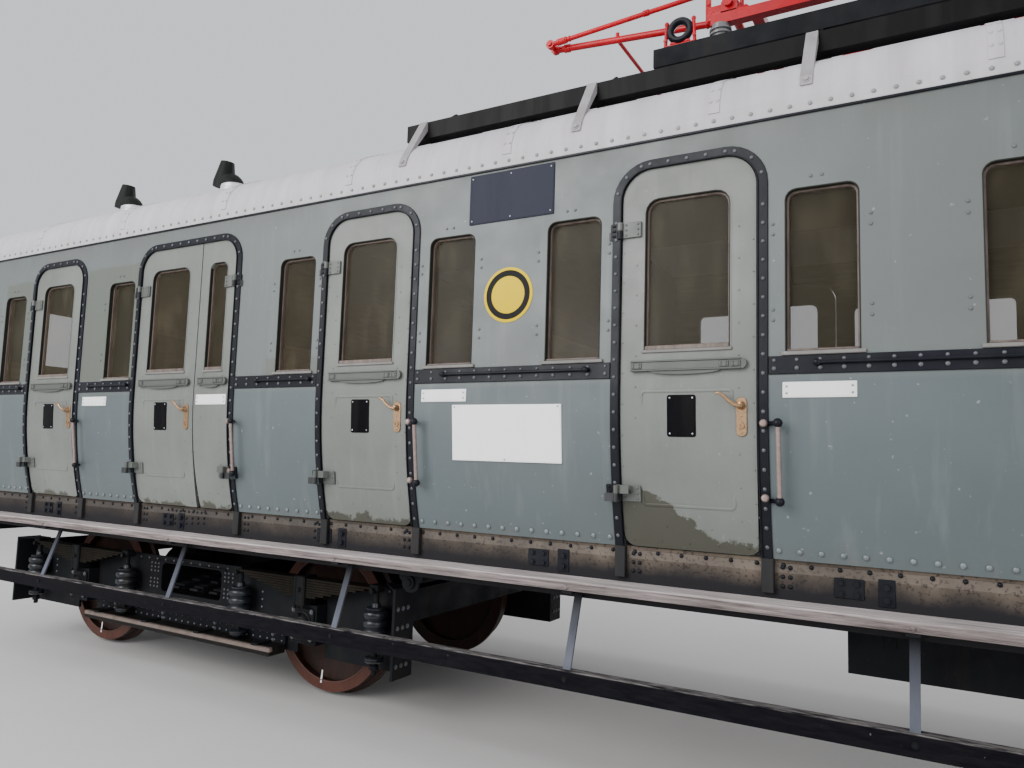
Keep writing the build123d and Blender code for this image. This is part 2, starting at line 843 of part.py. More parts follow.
def plank(x, side):
    # The wooden plank under the brackets of the guide rail.
    return block(x - guide_half_length, x + guide_half_length, side * guide_reach, side * plank_outer, plank_bottom,
                 plank_bottom + plank_thickness)


def end_plate(x, side, hand):
    # The upright plate across the end of a side plate, with a three-cornered gusset behind it.
    x0 = x + hand * side_plate_half_length
    x1 = x0 + hand * bogie_end_thickness
    inner = journal_centre - side_plate_thickness / 2
    plate = block(x0, x1, side * inner, side * end_plate_outer, end_plate_bottom, end_plate_top)
    outer = journal_centre + side_plate_thickness / 2
    low = end_plate_top - gusset_thickness
    points = [(x0, side * outer), (x0, side * end_plate_outer), (x0 - hand * gusset_length, side * outer)]
    gusset = Pos(0, 0, low) * extrude(make_face(Polyline(*points, close=True)), gusset_thickness, dir=(0, 0, 1))
    return plate + gusset


def brake_shoe(axle_x, side, towards):
    # A shoe that stands off the tread, on an arm from the side plate.
    tread = wheel_radius + brake_gap
    y0 = side * (brake_shoe_plane - brake_shoe_width / 2)
    y1 = side * (brake_shoe_plane + brake_shoe_width / 2)
    back = axle_x + towards * (tread + brake_shoe_thickness)
    front = axle_x + towards * (tread - brake_shoe_thickness)
    shoe = block(back, front, y0, y1, wheel_radius - brake_shoe_half_height, wheel_radius + brake_shoe_half_height)
    shoe -= crosswise(axle_x, 0, side * journal_centre, wheel_radius, tread)
    arm_x = axle_x + towards * (tread + brake_shoe_thickness / 2)
    return shoe + crosswise(arm_x, side * brake_shoe_plane, side * journal_centre, wheel_radius, brake_arm_radius)


def bogie_transoms(x):
    # Two transoms with the bolster between them, which carries the centre plate.
    inner = journal_centre - side_plate_thickness / 2
    reach = transom_offset - transom_width / 2
    shape = block(x - reach, x + reach, -bolster_half_width, bolster_half_width, bolster_bottom, bolster_top)
    for offset in (-transom_offset, transom_offset):
        shape += block(x + offset - transom_width / 2, x + offset + transom_width / 2, -inner, inner,
                       transom_bottom, transom_top)
    for place in bolster_spring_places:
        for side in (-1, 1):
            shape += bolster_spring(x + place, side)
    return shape + upright(x, 0, bolster_top, bolster_top + centre_plate_thickness, centre_plate_radius)


def bolster_spring(x, side):
    # A stepped pack of leaves under one end of the bolster, with a clip round its tip.
    inner = bolster_half_width
    top = bolster_spring_bottom + bolster_leaf_steps * bolster_leaf
    outline = [(inner, bolster_spring_bottom), (bolster_spring_reach, bolster_spring_bottom)]
    for index in range(bolster_leaf_steps):
        reach = bolster_spring_reach - index * bolster_leaf_step
        low = bolster_spring_bottom + index * bolster_leaf
        outline += [(reach, low + bolster_leaf)]
        if index < bolster_leaf_steps - 1:
            outline += [(reach - bolster_leaf_step, low + bolster_leaf)]
    outline += [(inner, top)]
    half = bolster_spring_width / 2
    pack = across([(side * y, z) for y, z in outline], x - half, x + half)
    clip_y = bolster_spring_reach - bolster_leaf_step
    wide = half + bolster_spring_clip / 2
    clip_low = bolster_spring_bottom - bolster_spring_clip
    clip_high = bolster_spring_bottom + bolster_leaf + bolster_spring_clip
    clip = block(x - wide, x + wide, side * clip_y, side * (clip_y + bolster_leaf_step / 2), clip_low, clip_high)
    return pack + clip


def bogie_end(x, side):
    inner = journal_centre - side_plate_thickness / 2
    x0 = x + side * (side_plate_half_length - bogie_end_thickness)
    return block(x0, x0 + side * bogie_end_thickness, -inner, inner, side_plate_top - bogie_end_depth, side_plate_top)


def axle_box(x, side):
    y = side * journal_centre
    half = axle_box_width / 2
    box = block(x - half, x + half, y - axle_box_depth / 2, y + axle_box_depth / 2,
                wheel_radius - axle_box_height / 2, wheel_radius + axle_box_height / 2)
    return box - crosswise(x, y - axle_box_depth, y + axle_box_depth, wheel_radius, journal_radius + running_gap)


def coil(x, y):
    # Thick rings stacked on a slimmer core.
    pitch = (coil_top - coil_bottom + coil_gap) / coil_rings
    shape = upright(x, y, coil_bottom, coil_top, coil_radius - coil_groove)
    for index in range(coil_rings):
        low = coil_bottom + index * pitch
        shape += upright(x, y, low, low + pitch - coil_gap, coil_radius)
    return shape


def axle_spring(x, side, inward):
    # A leaf spring over an axle box, with a coil and its rod at each end. The inner rod stops above the plank.
    y0 = side * (spring_plane - leaf_width / 2)
    y1 = side * (spring_plane + leaf_width / 2)
    step = leaf_half_length / leaf_count
    outline = []
    for index in range(leaf_count):
        reach = leaf_half_length - index * step
        z = leaf_top - index * leaf_thickness
        outline += [(reach, z), (reach, z - leaf_thickness)]
    left = [(-u, z) for u, z in reversed(outline)]
    points = [(x + u, z) for u, z in left + outline]
    spring = lengthwise(points, min(y0, y1), max(y0, y1))
    y = side * spring_plane
    spring += block(x - buckle_width / 2, x + buckle_width / 2, min(y0, y1) - buckle_wall, max(y0, y1) + buckle_wall,
                    wheel_radius + axle_box_height / 2, leaf_top + buckle_wall)
    inner_bottom = plank_bottom + plank_thickness + spring_rod_clearance
    rods = ((x - inward * spring_offset, spring_rod_bottom), (x + inward * spring_offset, inner_bottom))
    for end, rod_bottom in rods:
        spring += coil(end, y)
        spring += upright(end, y, rod_bottom, leaf_top, spring_rod_radius)
        spring += upright(end, y, cup_top - cup_depth, cup_top, cup_radius)
        cap = spring_cap_width / 2
        spring += block(end - cap, end + cap, y - cap, y + cap, leaf_top - leaf_thickness, leaf_top + leaf_thickness)
        spring += block(end - coil_radius, end + coil_radius, side * spring_bracket_inner, y,
                        coil_bottom - spring_seat, coil_bottom)
    return spring


def motor(axle_x, towards):
    # A motor hung between its axle and the transom.
    x = axle_x + towards * motor_offset
    face = axle_x + towards * (wheelbase / 2 - transom_offset - transom_width / 2)
    nose = block(x, face, -motor_nose_half_width, motor_nose_half_width, motor_nose_bottom, motor_nose_top)
    return crosswise(x, -motor_half_width, motor_half_width, wheel_radius, motor_radius) + nose


for number, x in (("1", -pivot_x), ("2", pivot_x)):
    axles = (("a", x - wheelbase / 2, 1), ("b", x + wheelbase / 2, -1))
    plates = [side_plate(x, side) for side in (-1, 1)]
    write(f"bogie_{number}_side_plates", plates + [plank(x, side) for side in (-1, 1)])
    write(f"bogie_{number}_transoms", [bogie_transoms(x), bogie_end(x, -1), bogie_end(x, 1)])
    write(f"bogie_{number}_axle_boxes", [axle_box(axle_x, side) for _, axle_x, _ in axles for side in (-1, 1)])
    springs = [axle_spring(axle_x, side, inward) for _, axle_x, inward in axles for side in (-1, 1)]
    write(f"bogie_{number}_springs", springs)
    write(f"bogie_{number}_motors", [motor(axle_x, inward) for _, axle_x, inward in axles])
    for letter, axle_x, _ in axles:
        write(f"wheelset_{number}{letter}", [wheelset(axle_x)])


# Roof gear
def ventilator(x, y):
    # A base ring, an elbow towards the nearer end of the car and a leaning hood on it.
    towards = 1 if x > 0 else -1
    seat = roof_centre + math.sqrt(roof_radius ** 2 - y ** 2)
    base_top = seat + ventilator_base_height
    foot = roof_centre + math.sqrt(roof_radius ** 2 - (abs(y) + ventilator_base_radius) ** 2) - roof_thickness / 2
    outline = [(0, foot), (ventilator_base_radius, foot), (ventilator_base_radius, base_top - ventilator_base_draft),
               (ventilator_base_radius - ventilator_base_draft, base_top), (0, base_top)]
    base = Pos(x, y, 0) * revolve(make_face(Plane.XZ * Polyline(*outline, close=True)), Axis.Z)
    ring = Plane(origin=(x, y, base_top)) * Circle(ventilator_pipe_radius)
    axis = Axis((x + towards * ventilator_bend, y, base_top), (0, 1, 0))
    elbow = revolve(ring, axis, towards * 90)
    hood_outline = [(0, 0), (hood_bottom_radius, 0), (hood_bottom_radius, hood_brim), (hood_top_radius, hood_height),
                    (0, hood_height)]
    hood = revolve(make_face(Plane.XZ * Polyline(*hood_outline, close=True)), Axis.Z)
    hood = Pos(x + towards * hood_offset, y, base_top + hood_lift) * Rot(0, -towards * hood_lean, 0) * hood
    return (base - roof_body(face_gap)) + elbow + hood


def bearer(x):
    inner = channel_outer - channel_flange
    shoulder = foot_beam_inner + foot_beam_width
    low = roof_radius + face_gap
    foot = roof_centre + math.sqrt(low ** 2 - inner ** 2)
    points = [(-inner, foot), (-inner, channel_top), (-shoulder, bearer_top), (shoulder, bearer_top),
              (inner, channel_top), (inner, foot)]
    lines = [Line(start, end) for start, end in zip(points, points[1:])]
    lines.append(ThreePointArc(points[5], (0, roof_centre + low), points[0]))
    face = make_face([Plane.YZ * line for line in lines])
    return along(face, x - bearer_thickness / 2, x + bearer_thickness / 2)


def roof_channel():
    points = channel_points(channel_outer, channel_outer - channel_flange, channel_bottom, channel_top,
                            channel_web, channel_web)
    return across([(-y, z) for y, z in points], -channel_half_length, channel_half_length)


def roof_bracket(x):
    # A flat bar from the roof edge up to the channel.
    foot_y = half_width - bracket_foot_inset
    foot_z = roof_edge_top + math.sqrt(roof_corner ** 2 - (foot_y - half_width + roof_corner) ** 2)
    outer = bracket_thickness
    points = [(-foot_y, foot_z), (-foot_y - outer, foot_z), (-channel_outer - outer, channel_top),
              (-channel_outer, channel_top), (-channel_outer, channel_top - bracket_lap)]
    return across(points, x - bracket_width / 2, x + bracket_width / 2) - roof_body(face_gap)


def roof_rail():
    rail = roof_channel()
    for x in bracket_places:
        rail += roof_bracket(x)
    return rail


def roof_bearers(places):
    shape = block(-foot_beam_half_length, foot_beam_half_length, -foot_beam_inner - foot_beam_width,
                  -foot_beam_inner, bearer_top, bearer_top + foot_beam_height)
    shape += mirrored(shape)
    for x in places:
        shape += bearer(x)
    return shape


bracket_places = [(index - (bracket_count - 1) / 2) * bracket_pitch for index in range(bracket_count)]
write("ventilators", [ventilator(x, y) for x, y in ventilator_table])
write("roof_channels", both_sides([roof_rail()]))
inner_places = [x for x in bracket_places if abs(x) < foot_beam_half_length]
outer_places = [x for x in bracket_places if abs(x) > foot_beam_half_length]
write("roof_bearers", [roof_bearers(inner_places)] + [bearer(x) for x in outer_places])


# Collector pieces
def insulator(x, y):
    # A post with thin sheds round it.
    post = upright(x, y, foot_top, rail_bottom, insulator_radius)
    for place in (foot_top + shed_pitch / 2, foot_top + 3 * shed_pitch / 2):
        post += upright(x, y, place, place + insulator_shed, insulator_radius + insulator_shed)
    return post


def base_frame():
    half = insulator_places[-1] + insulator_radius
    inner = rail_y - base_rail / 2
    frame = block(-half, half, -rail_y - base_rail / 2, -inner, rail_bottom, rail_top_z)
    frame += block(-half, half, inner, rail_y + base_rail / 2, rail_bottom, rail_top_z)
    for x in (base_cross_inset - shaft_offset, shaft_offset - base_cross_inset):
        frame += block(x - base_rail / 2, x + base_rail / 2, -inner, inner, rail_bottom, rail_top_z)
    for x in (-shaft_offset, shaft_offset):
        for side in (-1, 1):
            y0 = side * (rail_y - bearing_width / 2)
            y1 = side * (rail_y + bearing_width / 2)
            bearing = block(x - bearing_radius, x + bearing_radius, y0, y1, rail_top_z, shaft_height)
            bearing += crosswise(x, y0, y1, shaft_height, bearing_radius)
            frame += bearing
    for x in (-shaft_offset, shaft_offset):
        frame -= crosswise(x, -shaft_half_length * 2, shaft_half_length * 2, shaft_height, shaft_radius + running_gap)
    return frame


def lower_arms(side):
    x0 = side * shaft_offset
    x1 = side * knee_x
    arms = crosswise(x0, -rail_y - bearing_width, rail_y + bearing_width, shaft_height, shaft_radius)
    brace_x = x0 + (x1 - x0) * lower_brace_share
    brace_z = shaft_height + (knee_z - shaft_height) * lower_brace_share
    arms += crosswise(brace_x, -lower_arm_plane, lower_arm_plane, brace_z, lower_brace_radius)
    for side_y in (-1, 1):
        y = side_y * lower_arm_plane
        arms += rod((x0, y, shaft_height), (x1, y, knee_z), lower_arm_radius)
        arms += crosswise(x1, y - eye_width / 2, y + eye_width / 2, knee_z, eye_radius)
        arms += crosswise(x1, side_y * knee_pin_inner, side_y * knee_half_length, knee_z, knee_radius)
        arms += upright(brace_x, y, brace_z, brace_z + brace_post_height, lower_brace_radius)
    return arms


def upper_arms(side, with_shaft):
    x1 = side * knee_x
    tip = 0.0 if with_shaft else side * tip_clearance
    share = (x1 - tip) / x1
    arms = None
    for hand in (-1, 1):
        start = (x1, hand * upper_arm_plane, knee_z)
        end_y = upper_arm_plane + (upper_arm_tip_plane - upper_arm_plane) * share
        end = (tip, hand * end_y, knee_z + (head_z - knee_z) * share)
        arm = rod(start, end, upper_arm_radius)
        arm += crosswise(x1, hand * upper_arm_plane - eye_width / 2, hand * upper_arm_plane + eye_width / 2, knee_z,
                         eye_radius)
        arm -= crosswise(x1, -knee_half_length * 2, knee_half_length * 2, knee_z, knee_radius + running_gap)
        arms = arm if arms is None else arms + arm
    if with_shaft:
        arms += crosswise(0.0, -head_shaft_half_length, head_shaft_half_length, head_z, knee_radius)
    else:
        share_tip = knee_z + (head_z - knee_z) * share
        arms += crosswise(tip + side * 10, -upper_arm_tip_plane, upper_arm_tip_plane, share_tip - 1, knee_radius)
    return arms


def collector_head():
    half = collector_spacing / 2
    top = head_z + collector_rise
    shape = None
    for hand in (-1, 1):
        y0 = hand * (head_plane - eye_width / 2)
        y1 = hand * (head_plane + eye_width / 2)
        low = head_z - head_foot_drop
        plate = lengthwise([(-half, top - collector_thickness), (half, top - collector_thickness),
                            (head_foot_half, low), (-head_foot_half, low)], min(y0, y1), max(y0, y1))
        plate -= crosswise(0.0, min(y0, y1) - 1, max(y0, y1) + 1, head_z, knee_radius + running_gap)
        shape = plate if shape is None else shape + plate
    for x in (-half, half):
        reach = collector_half_length
        tip = top - horn_drop
        under = top - collector_thickness
        outline = [(-collector_reach, tip), (-reach, top), (reach, top), (collector_reach, tip),
                   (collector_reach - 10, tip - collector_thickness), (reach, under), (-reach, under),
                   (10 - collector_reach, tip - collector_thickness)]
        shape += across(outline, x - collector_width / 2, x + collector_width / 2)
    return shape


write("insulators", [insulator(x, side * rail_y) for x in insulator_places for side in (-1, 1)])
write("collector_base", [base_frame()])
write("collector_lower_arms_left", [lower_arms(-1)])
write("collector_lower_arms_right", [lower_arms(1)])
write("collector_upper_arms_left", [upper_arms(-1, True)])
write("collector_upper_arms_right", [upper_arms(1, False)])
write("collector_head", [collector_head()])
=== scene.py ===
import math

import bmesh
import bpy
from bpy.props import FloatProperty, FloatVectorProperty, PointerProperty
from bpy.types import Operator, Panel, PropertyGroup
from mathutils import Matrix, Vector


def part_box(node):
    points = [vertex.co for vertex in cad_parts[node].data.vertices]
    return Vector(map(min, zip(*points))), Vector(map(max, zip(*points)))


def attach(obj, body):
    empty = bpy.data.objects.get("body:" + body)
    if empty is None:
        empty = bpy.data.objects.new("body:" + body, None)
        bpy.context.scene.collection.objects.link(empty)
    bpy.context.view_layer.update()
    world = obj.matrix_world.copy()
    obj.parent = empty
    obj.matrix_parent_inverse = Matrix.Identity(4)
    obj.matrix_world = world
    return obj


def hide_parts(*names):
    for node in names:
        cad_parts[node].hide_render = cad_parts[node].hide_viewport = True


bl_info = {
    "name": "Compartment railcar",
    "version": (1, 0, 0),
    "blender": (4, 5, 0),
    "location": "3D Viewport > Sidebar > Railcar",
    "description": "Dresses the compartment railcar with its trim, doors, running gear, collector and stage",
    "category": "Add Mesh",
}

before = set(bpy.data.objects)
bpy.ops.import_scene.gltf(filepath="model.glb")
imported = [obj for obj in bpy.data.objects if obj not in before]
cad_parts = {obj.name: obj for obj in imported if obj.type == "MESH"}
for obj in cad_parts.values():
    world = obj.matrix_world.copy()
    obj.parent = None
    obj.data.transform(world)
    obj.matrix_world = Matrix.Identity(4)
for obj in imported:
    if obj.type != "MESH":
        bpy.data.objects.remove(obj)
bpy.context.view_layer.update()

# Pieces are modelled with heights above the rail head and lifted by this much when they are seated.
RAIL_HEAD = 0.028
WALL_Y = 1.45
CURVE_TOP = 2.05
CURVE_RADIUS = 3.18
PANEL_BOTTOM = 1.239
ARCH_SPRING = 2.963
ARCH_RADIUS = 0.150
WINDOW_HALF = 0.156
WINDOW_LOW = 2.165
WINDOW_HIGH = 2.913
ALL_DOORS = ("1", "2", "3", "4", "5", "6", "7", "8")
SINGLE_DOORS = tuple(name for name in ALL_DOORS if name != "2")
HINGE_ROWS = ((2.772, 2.810, 2.852), (1.462, 1.500, 1.542))
KNUCKLE = 0.013
DOOR_GAP = 0.008
HINGE_REST = 0.018
STRIP_CLEARANCE = 0.005
WORN_LEAF = -1.82
ROOF_RADIUS = 2.8
ROOF_CENTRE = 1.090
EAVE_RADIUS = 0.25
EAVE_CENTRE = 3.340
EAVE_Y = 1.2
BRACKET_PITCH = 1.155
STRUT_PITCH = 1.52
BOGIE_PIVOT = 5.705
AXLE_REACH = 1.275
AXLE_HEIGHT = 0.5
SPRING_PLANE = 1.076
SPRING_REACH = 0.62
# Where the tight curve of the eave goes over into the roof, as an angle above the eave.
ROOF_BORDER = math.pi / 2 - math.asin(EAVE_Y / (ROOF_RADIUS - EAVE_RADIUS))
# Outward on the near side, outward at the right end, and upwards.
NEAR, ALONG, UPWARD = (0, -1, 0), (1, 0, 0), (0, 0, 1)


class RailcarColours(PropertyGroup):
    """Paint and surface colours of the railcar."""

    wall: FloatVectorProperty(name="Wall paint", description="Grey-green paint of the upper side walls",
                              subtype="COLOR", size=3, min=0, max=1, default=(0.119, 0.131, 0.125))
    lower: FloatVectorProperty(name="Lower panel paint",
                               description="Bluer paint of the panels below the belt",
                               subtype="COLOR", size=3, min=0, max=1, default=(0.082, 0.102, 0.107))
    door: FloatVectorProperty(name="Door paint", description="Warm grey-green paint of the door leaves",
                              subtype="COLOR", size=3, min=0, max=1, default=(0.143, 0.152, 0.139))
    roof: FloatVectorProperty(name="Roof paint", description="Pale grey paint of the roof",
                              subtype="COLOR", size=3, min=0, max=1, default=(0.53, 0.50, 0.53))
    trim: FloatVectorProperty(name="Trim paint", description="Black paint of the riveted strips",
                              subtype="COLOR", size=3, min=0, max=1, default=(0.007, 0.008, 0.012))
    collector: FloatVectorProperty(name="Collector paint", description="Red paint of the current collector",
                                   subtype="COLOR", size=3, min=0, max=1, default=(0.44, 0.003, 0.010))


class RailcarSizes(PropertyGroup):
    """Sizes of the small fittings that repeat along the railcar."""

    rivet_radius: FloatProperty(name="Rivet radius", description="Radius of a dome rivet head",
                                default=0.010, min=0.004, max=0.02, unit="LENGTH")
    rivet_pitch: FloatProperty(name="Rivet pitch", description="Distance between the rivets of a strip",
                               default=0.087, min=0.04, max=0.2, unit="LENGTH")
    strip_width: FloatProperty(name="Strip width", description="Width of the black strips round the doorways",
                               default=0.048, min=0.03, max=0.07, unit="LENGTH")
    belt_height: FloatProperty(name="Belt height", description="Height of the belt band under the windows",
                               default=0.082, min=0.05, max=0.12, unit="LENGTH")


class RailcarStage(PropertyGroup):
    """Light and floor round the railcar."""

    key_power: FloatProperty(name="Key light", description="Power of the large soft light",
                             default=1400.0, min=0, unit="POWER")
    fill_power: FloatProperty(name="Fill light", description="Power of the softer light from the other side",
                              default=440.0, min=0, unit="POWER")
    sky: FloatProperty(name="Room light", description="Strength of the even light all round",
                       default=0.93, min=0, max=5)
    floor: FloatVectorProperty(name="Floor", description="Colour of the plain floor",
                               subtype="COLOR", size=3, min=0, max=1, default=(0.62, 0.61, 0.59))


# Surfaces
def feed(socket, value):
    """Links a field to the socket, or sets the socket's own value."""
    if isinstance(value, Field):
        value.tree.links.new(value.socket, socket)
    elif socket.type == "RGBA":
        socket.default_value = (*value, 1.0)
    else:
        socket.default_value = value


class Field:
    """A number, place or colour that varies over a surface: an output of a node, with arithmetic on it."""

    def __init__(self, tree, socket):
        self.tree, self.socket = tree, socket

    def node(self, kind, output, inputs, **settings):
        """Adds a node to the same tree, feeds its inputs and gives one of its outputs."""
        node = self.tree.nodes.new("ShaderNode" + kind)
        for name, value in settings.items():
            setattr(node, name, value)
        for name, value in inputs.items():
            feed(node.inputs[name], value)
        return Field(self.tree, node.outputs[output])

    def __mul__(self, other):
        return self.node("Math", "Value", {0: self, 1: other}, operation="MULTIPLY")

    def __add__(self, other):
        return self.node("Math", "Value", {0: self, 1: other}, operation="ADD")

    def __sub__(self, other):
        return self.node("Math", "Value", {0: self, 1: other}, operation="SUBTRACT")

    def __abs__(self):
        return self.node("Math", "Value", {0: self, 1: 0.0}, operation="ABSOLUTE")

    def ramp(self, low, high, to_low=0.0, to_high=1.0):
        return self.node("MapRange", "Result", {"Value": self, "From Min": low, "From Max": high,
                                                "To Min": to_low, "To Max": to_high})

    def mix(self, first, second):
        """The first colour where this share is zero and the second where it is one."""
        return self.node("Mix", "Result", {"Factor": self, "A": first, "B": second}, data_type="RGBA")


class Paper:
    """A new material whose pattern follows the object's own coordinates."""

    def __init__(self, name):
        self.material = bpy.data.materials.new(name)
        self.material.use_nodes = True
        tree = self.material.node_tree
        self.shader = tree.nodes["Principled BSDF"]
        self.place = Field(tree, tree.nodes.new("ShaderNodeTexCoord").outputs["Object"])

    def axis(self, name):
        return self.place.node("SeparateXYZ", name, {"Vector": self.place})

    def cloud(self, scale, detail=4.0, roughness=0.55, distortion=0.0, stretch=None, shift=(0, 0, 0)):
        """Soft noise, drawn out along the axes if a stretch is given."""
        place = self.place
        if stretch:
            place = place.node("Mapping", "Vector", {"Scale": stretch, "Location": shift, "Vector": place})
        return place.node("TexNoise", "Fac", {"Scale": scale, "Detail": detail, "Roughness": roughness,
                                              "Distortion": distortion, "Vector": place})

    def coat(self, base, rough, relief, level=0.5, metallic=0.0):
        """Feeds the shader. The relief is a height with its strength and distance."""
        height, strength, distance = relief
        bump = height.node("Bump", "Normal", {"Strength": strength, "Distance": distance, "Height": height})
        values = {"Base Color": base, "Roughness": rough, "Normal": bump, "Specular IOR Level": level,
                  "Metallic": metallic}
        for name, value in values.items():
            feed(self.shader.inputs[name], value)


def shade(colour, factor):
    return tuple(max(0.0, min(1.0, channel * factor)) for channel in colour)


def chosen(name):
    """A colour of the sidebar."""
    return tuple(getattr(bpy.context.scene.railcar_colours, name))


def box_mask(paper, x, z, wide, tall):
    """One inside an upright rectangle round a point of the side, zero outside, with an uneven border."""
    ragged = (paper.cloud(6.0, 5.0) - 0.5) * 0.05
    sides = [(abs(paper.axis(axis) - middle) + ragged).ramp(reach, reach - 0.012)
             for axis, middle, reach in (("X", x, wide), ("Z", z, tall))]
    return sides[0] * sides[1]


def lined(paper, base, proud):
    """The base outside, another colour on what stands proud, and varnish inside above the belt."""
    base = abs(paper.axis("Y")).ramp(1.4565, 1.4570).mix(base, proud)
    depth = abs(paper.axis("Y")).ramp(1.434, 1.430)
    above = paper.axis("Z").ramp(2.100, 2.105)
    within = abs(paper.axis("X")).ramp(8.02, 8.01)
    grain = paper.cloud(3.0, 5.0, 0.6, stretch=(2.0, 2.0, 20.0)).ramp(0.3, 0.7)
    return (depth * above * within).mix(base, grain.mix((0.085, 0.050, 0.027), (0.165, 0.105, 0.062)))


def painted_metal(paper, colour, dirt, gloss, streaks, cloudiness, specks, level=0.5, metallic=0.0):
    """Weathered paint: clouds, rain streaks, pale specks and an orange-peel skin."""
    if isinstance(colour, str):
        colour = chosen(colour)
    base = paper.cloud(1.7, 5.0).ramp(0.3, 0.7).mix(shade(colour, 1 - cloudiness),
                                                    shade(colour, 1 + cloudiness))
    rain = paper.cloud(1.0, 6.0, 0.62, stretch=(9.0, 9.0, 0.55)).ramp(0.5, 0.78)
    base = (rain * streaks).mix(base, dirt)
    pale = paper.cloud(1.0, 5.0, stretch=(13.0, 13.0, 0.8), shift=(3.1, 0.4, 1.7)).ramp(0.58, 0.8)
    base = (pale * (streaks * 0.8)).mix(base, shade(colour, 1.45))
    base = (paper.cloud(42.0, 2.0, 0.4).ramp(0.70, 0.76) * specks).mix(base, shade(colour, 2.2))
    skin = paper.cloud(55.0, 3.0) + paper.cloud(3.0, 2.0) * 3.0
    paper.coat(base, paper.cloud(7.0, 5.0).ramp(0.3, 0.7, *gloss), (skin, 0.22, 0.0012), level, metallic)


def wall_paint(paper):
    """Side wall paint: warmer above the belt, bluer below it, with dull repaired patches and a dirty hem."""
    upper, lower = chosen("wall"), chosen("lower")
    height = paper.axis("Z")
    base = height.ramp(2.10, 2.06).mix(upper, lower)
    base = (paper.cloud(1.3, 6.0, 0.6).ramp(0.3, 0.72) * 0.35).mix(base, shade(lower, 1.38))
    base = (paper.cloud(0.75, 3.0, 0.4).ramp(0.55, 0.63) * 0.30).mix(base, shade(upper, 0.86))
    rain = paper.cloud(1.0, 6.0, 0.6, stretch=(10.0, 10.0, 0.5))
    base = (rain.ramp(0.56, 0.84) * 0.22).mix(base, (0.30, 0.32, 0.32))
    hem = height.ramp(1.38, 1.26) * rain.ramp(0.38, 0.62)
    base = (hem * 0.35).mix(base, (0.115, 0.112, 0.098))
    eave = height.ramp(3.12, 3.29) * rain.ramp(0.3, 0.65)
    base = (eave * 0.6).mix(base, (0.085, 0.088, 0.080))
    base = (paper.cloud(38.0, 2.0, 0.4).ramp(0.72, 0.77) * 0.4).mix(base, (0.36, 0.38, 0.37))
    for patch in ((-6.25, 2.63, 0.34, 0.45), (-7.55, 2.63, 0.24, 0.43), (-4.47, 2.228, 0.065, 0.062),
                  (-4.12, 2.228, 0.064, 0.062)):
        base = (box_mask(paper, *patch) * 0.55).mix(base, (0.088, 0.096, 0.068))
    skin = paper.cloud(60.0, 3.0) + paper.cloud(2.2, 2.0) * 6.0
    paper.coat(lined(paper, base, (0.014, 0.015, 0.017)), paper.cloud(5.0, 5.0).ramp(0.3, 0.7, 0.36, 0.56),
               (skin, 0.25, 0.0015))


def door_paint(paper):
    """Door leaf paint with a brown worn patch that creeps up from the lower corner."""
    colour = chosen("door")
    base = paper.cloud(1.9, 6.0, 0.6).ramp(0.3, 0.7).mix(shade(colour, 0.88), shade(colour, 1.16))
    rain = paper.cloud(1.0, 6.0, 0.6, stretch=(11.0, 11.0, 0.6), shift=(1.3, 2.0, 0.2)).ramp(0.52, 0.8)
    base = (rain * 0.35).mix(base, shade(colour, 1.6))
    along = paper.axis("X")
    corner = (along.ramp(WORN_LEAF + 0.25, WORN_LEAF, 0.0, 0.235)
              * along.ramp(WORN_LEAF - 0.25, WORN_LEAF - 0.24))
    edge = paper.cloud(3.1, 8.0, 0.70) * 0.42 + 1.090 + corner
    worn = (edge - paper.axis("Z")).ramp(0.0, 0.012)
    base = (worn * 0.9).mix(base, (0.040, 0.038, 0.024))
    base = (paper.cloud(45.0, 2.0).ramp(0.71, 0.76) * 0.35).mix(base, shade(colour, 2.3))
    rough = paper.cloud(6.0, 5.0).ramp(0.3, 0.7, 0.36, 0.56) + worn * -0.1
    skin = paper.cloud(60.0, 3.0) + paper.cloud(2.6, 2.0) * 5.0 - worn * 0.6
    paper.coat(lined(paper, base, (0.075, 0.081, 0.072)), rough, (skin, 0.28, 0.0015))


def roof_paint(paper):
    """Pale, streaked roof paint with soot on the crown, a brown ceiling and gables like the wall."""
    colour, wall = chosen("roof"), chosen("wall")
    height, across = paper.axis("Z"), abs(paper.axis("Y"))
    streak = paper.cloud(1.0, 7.0, 0.62, stretch=(7.0, 0.7, 0.9))
    base = streak.ramp(0.3, 0.72).mix(shade(colour, 0.82), shade(colour, 1.14))
    base = (paper.cloud(1.1, 5.0, 0.6).ramp(0.42, 0.72) * 0.28).mix(base, (0.33, 0.31, 0.33))
    base = (height.ramp(3.60, 3.93) * streak.ramp(0.25, 0.6) * 0.45).mix(base, (0.12, 0.11, 0.11))
    moss = height.ramp(3.40, 3.31) * paper.cloud(9.0, 6.0).ramp(0.4, 0.65)
    base = (moss * 0.35).mix(base, (0.40, 0.42, 0.36))
    rise = height - (ROOF_CENTRE + RAIL_HEAD)
    under = (across * across + rise * rise).ramp(7.785, 7.765)
    base = (under * across.ramp(1.300, 1.295)).mix(base, (0.115, 0.062, 0.032))
    wall = paper.cloud(1.3, 6.0, 0.6).ramp(0.3, 0.72).mix(wall, shade(wall, 1.3))
    gable = under * across.ramp(1.432, 1.428) * (across + height).ramp(4.878, 4.872)
    base = (gable * abs(paper.axis("X")).ramp(8.07, 8.08)).mix(base, wall)
    skin = paper.cloud(70.0, 3.0) + paper.cloud(1.8, 2.0) * 9.0
    paper.coat(base, paper.cloud(6.0, 5.0).ramp(0.3, 0.7, 0.45, 0.68), (skin, 0.3, 0.002))


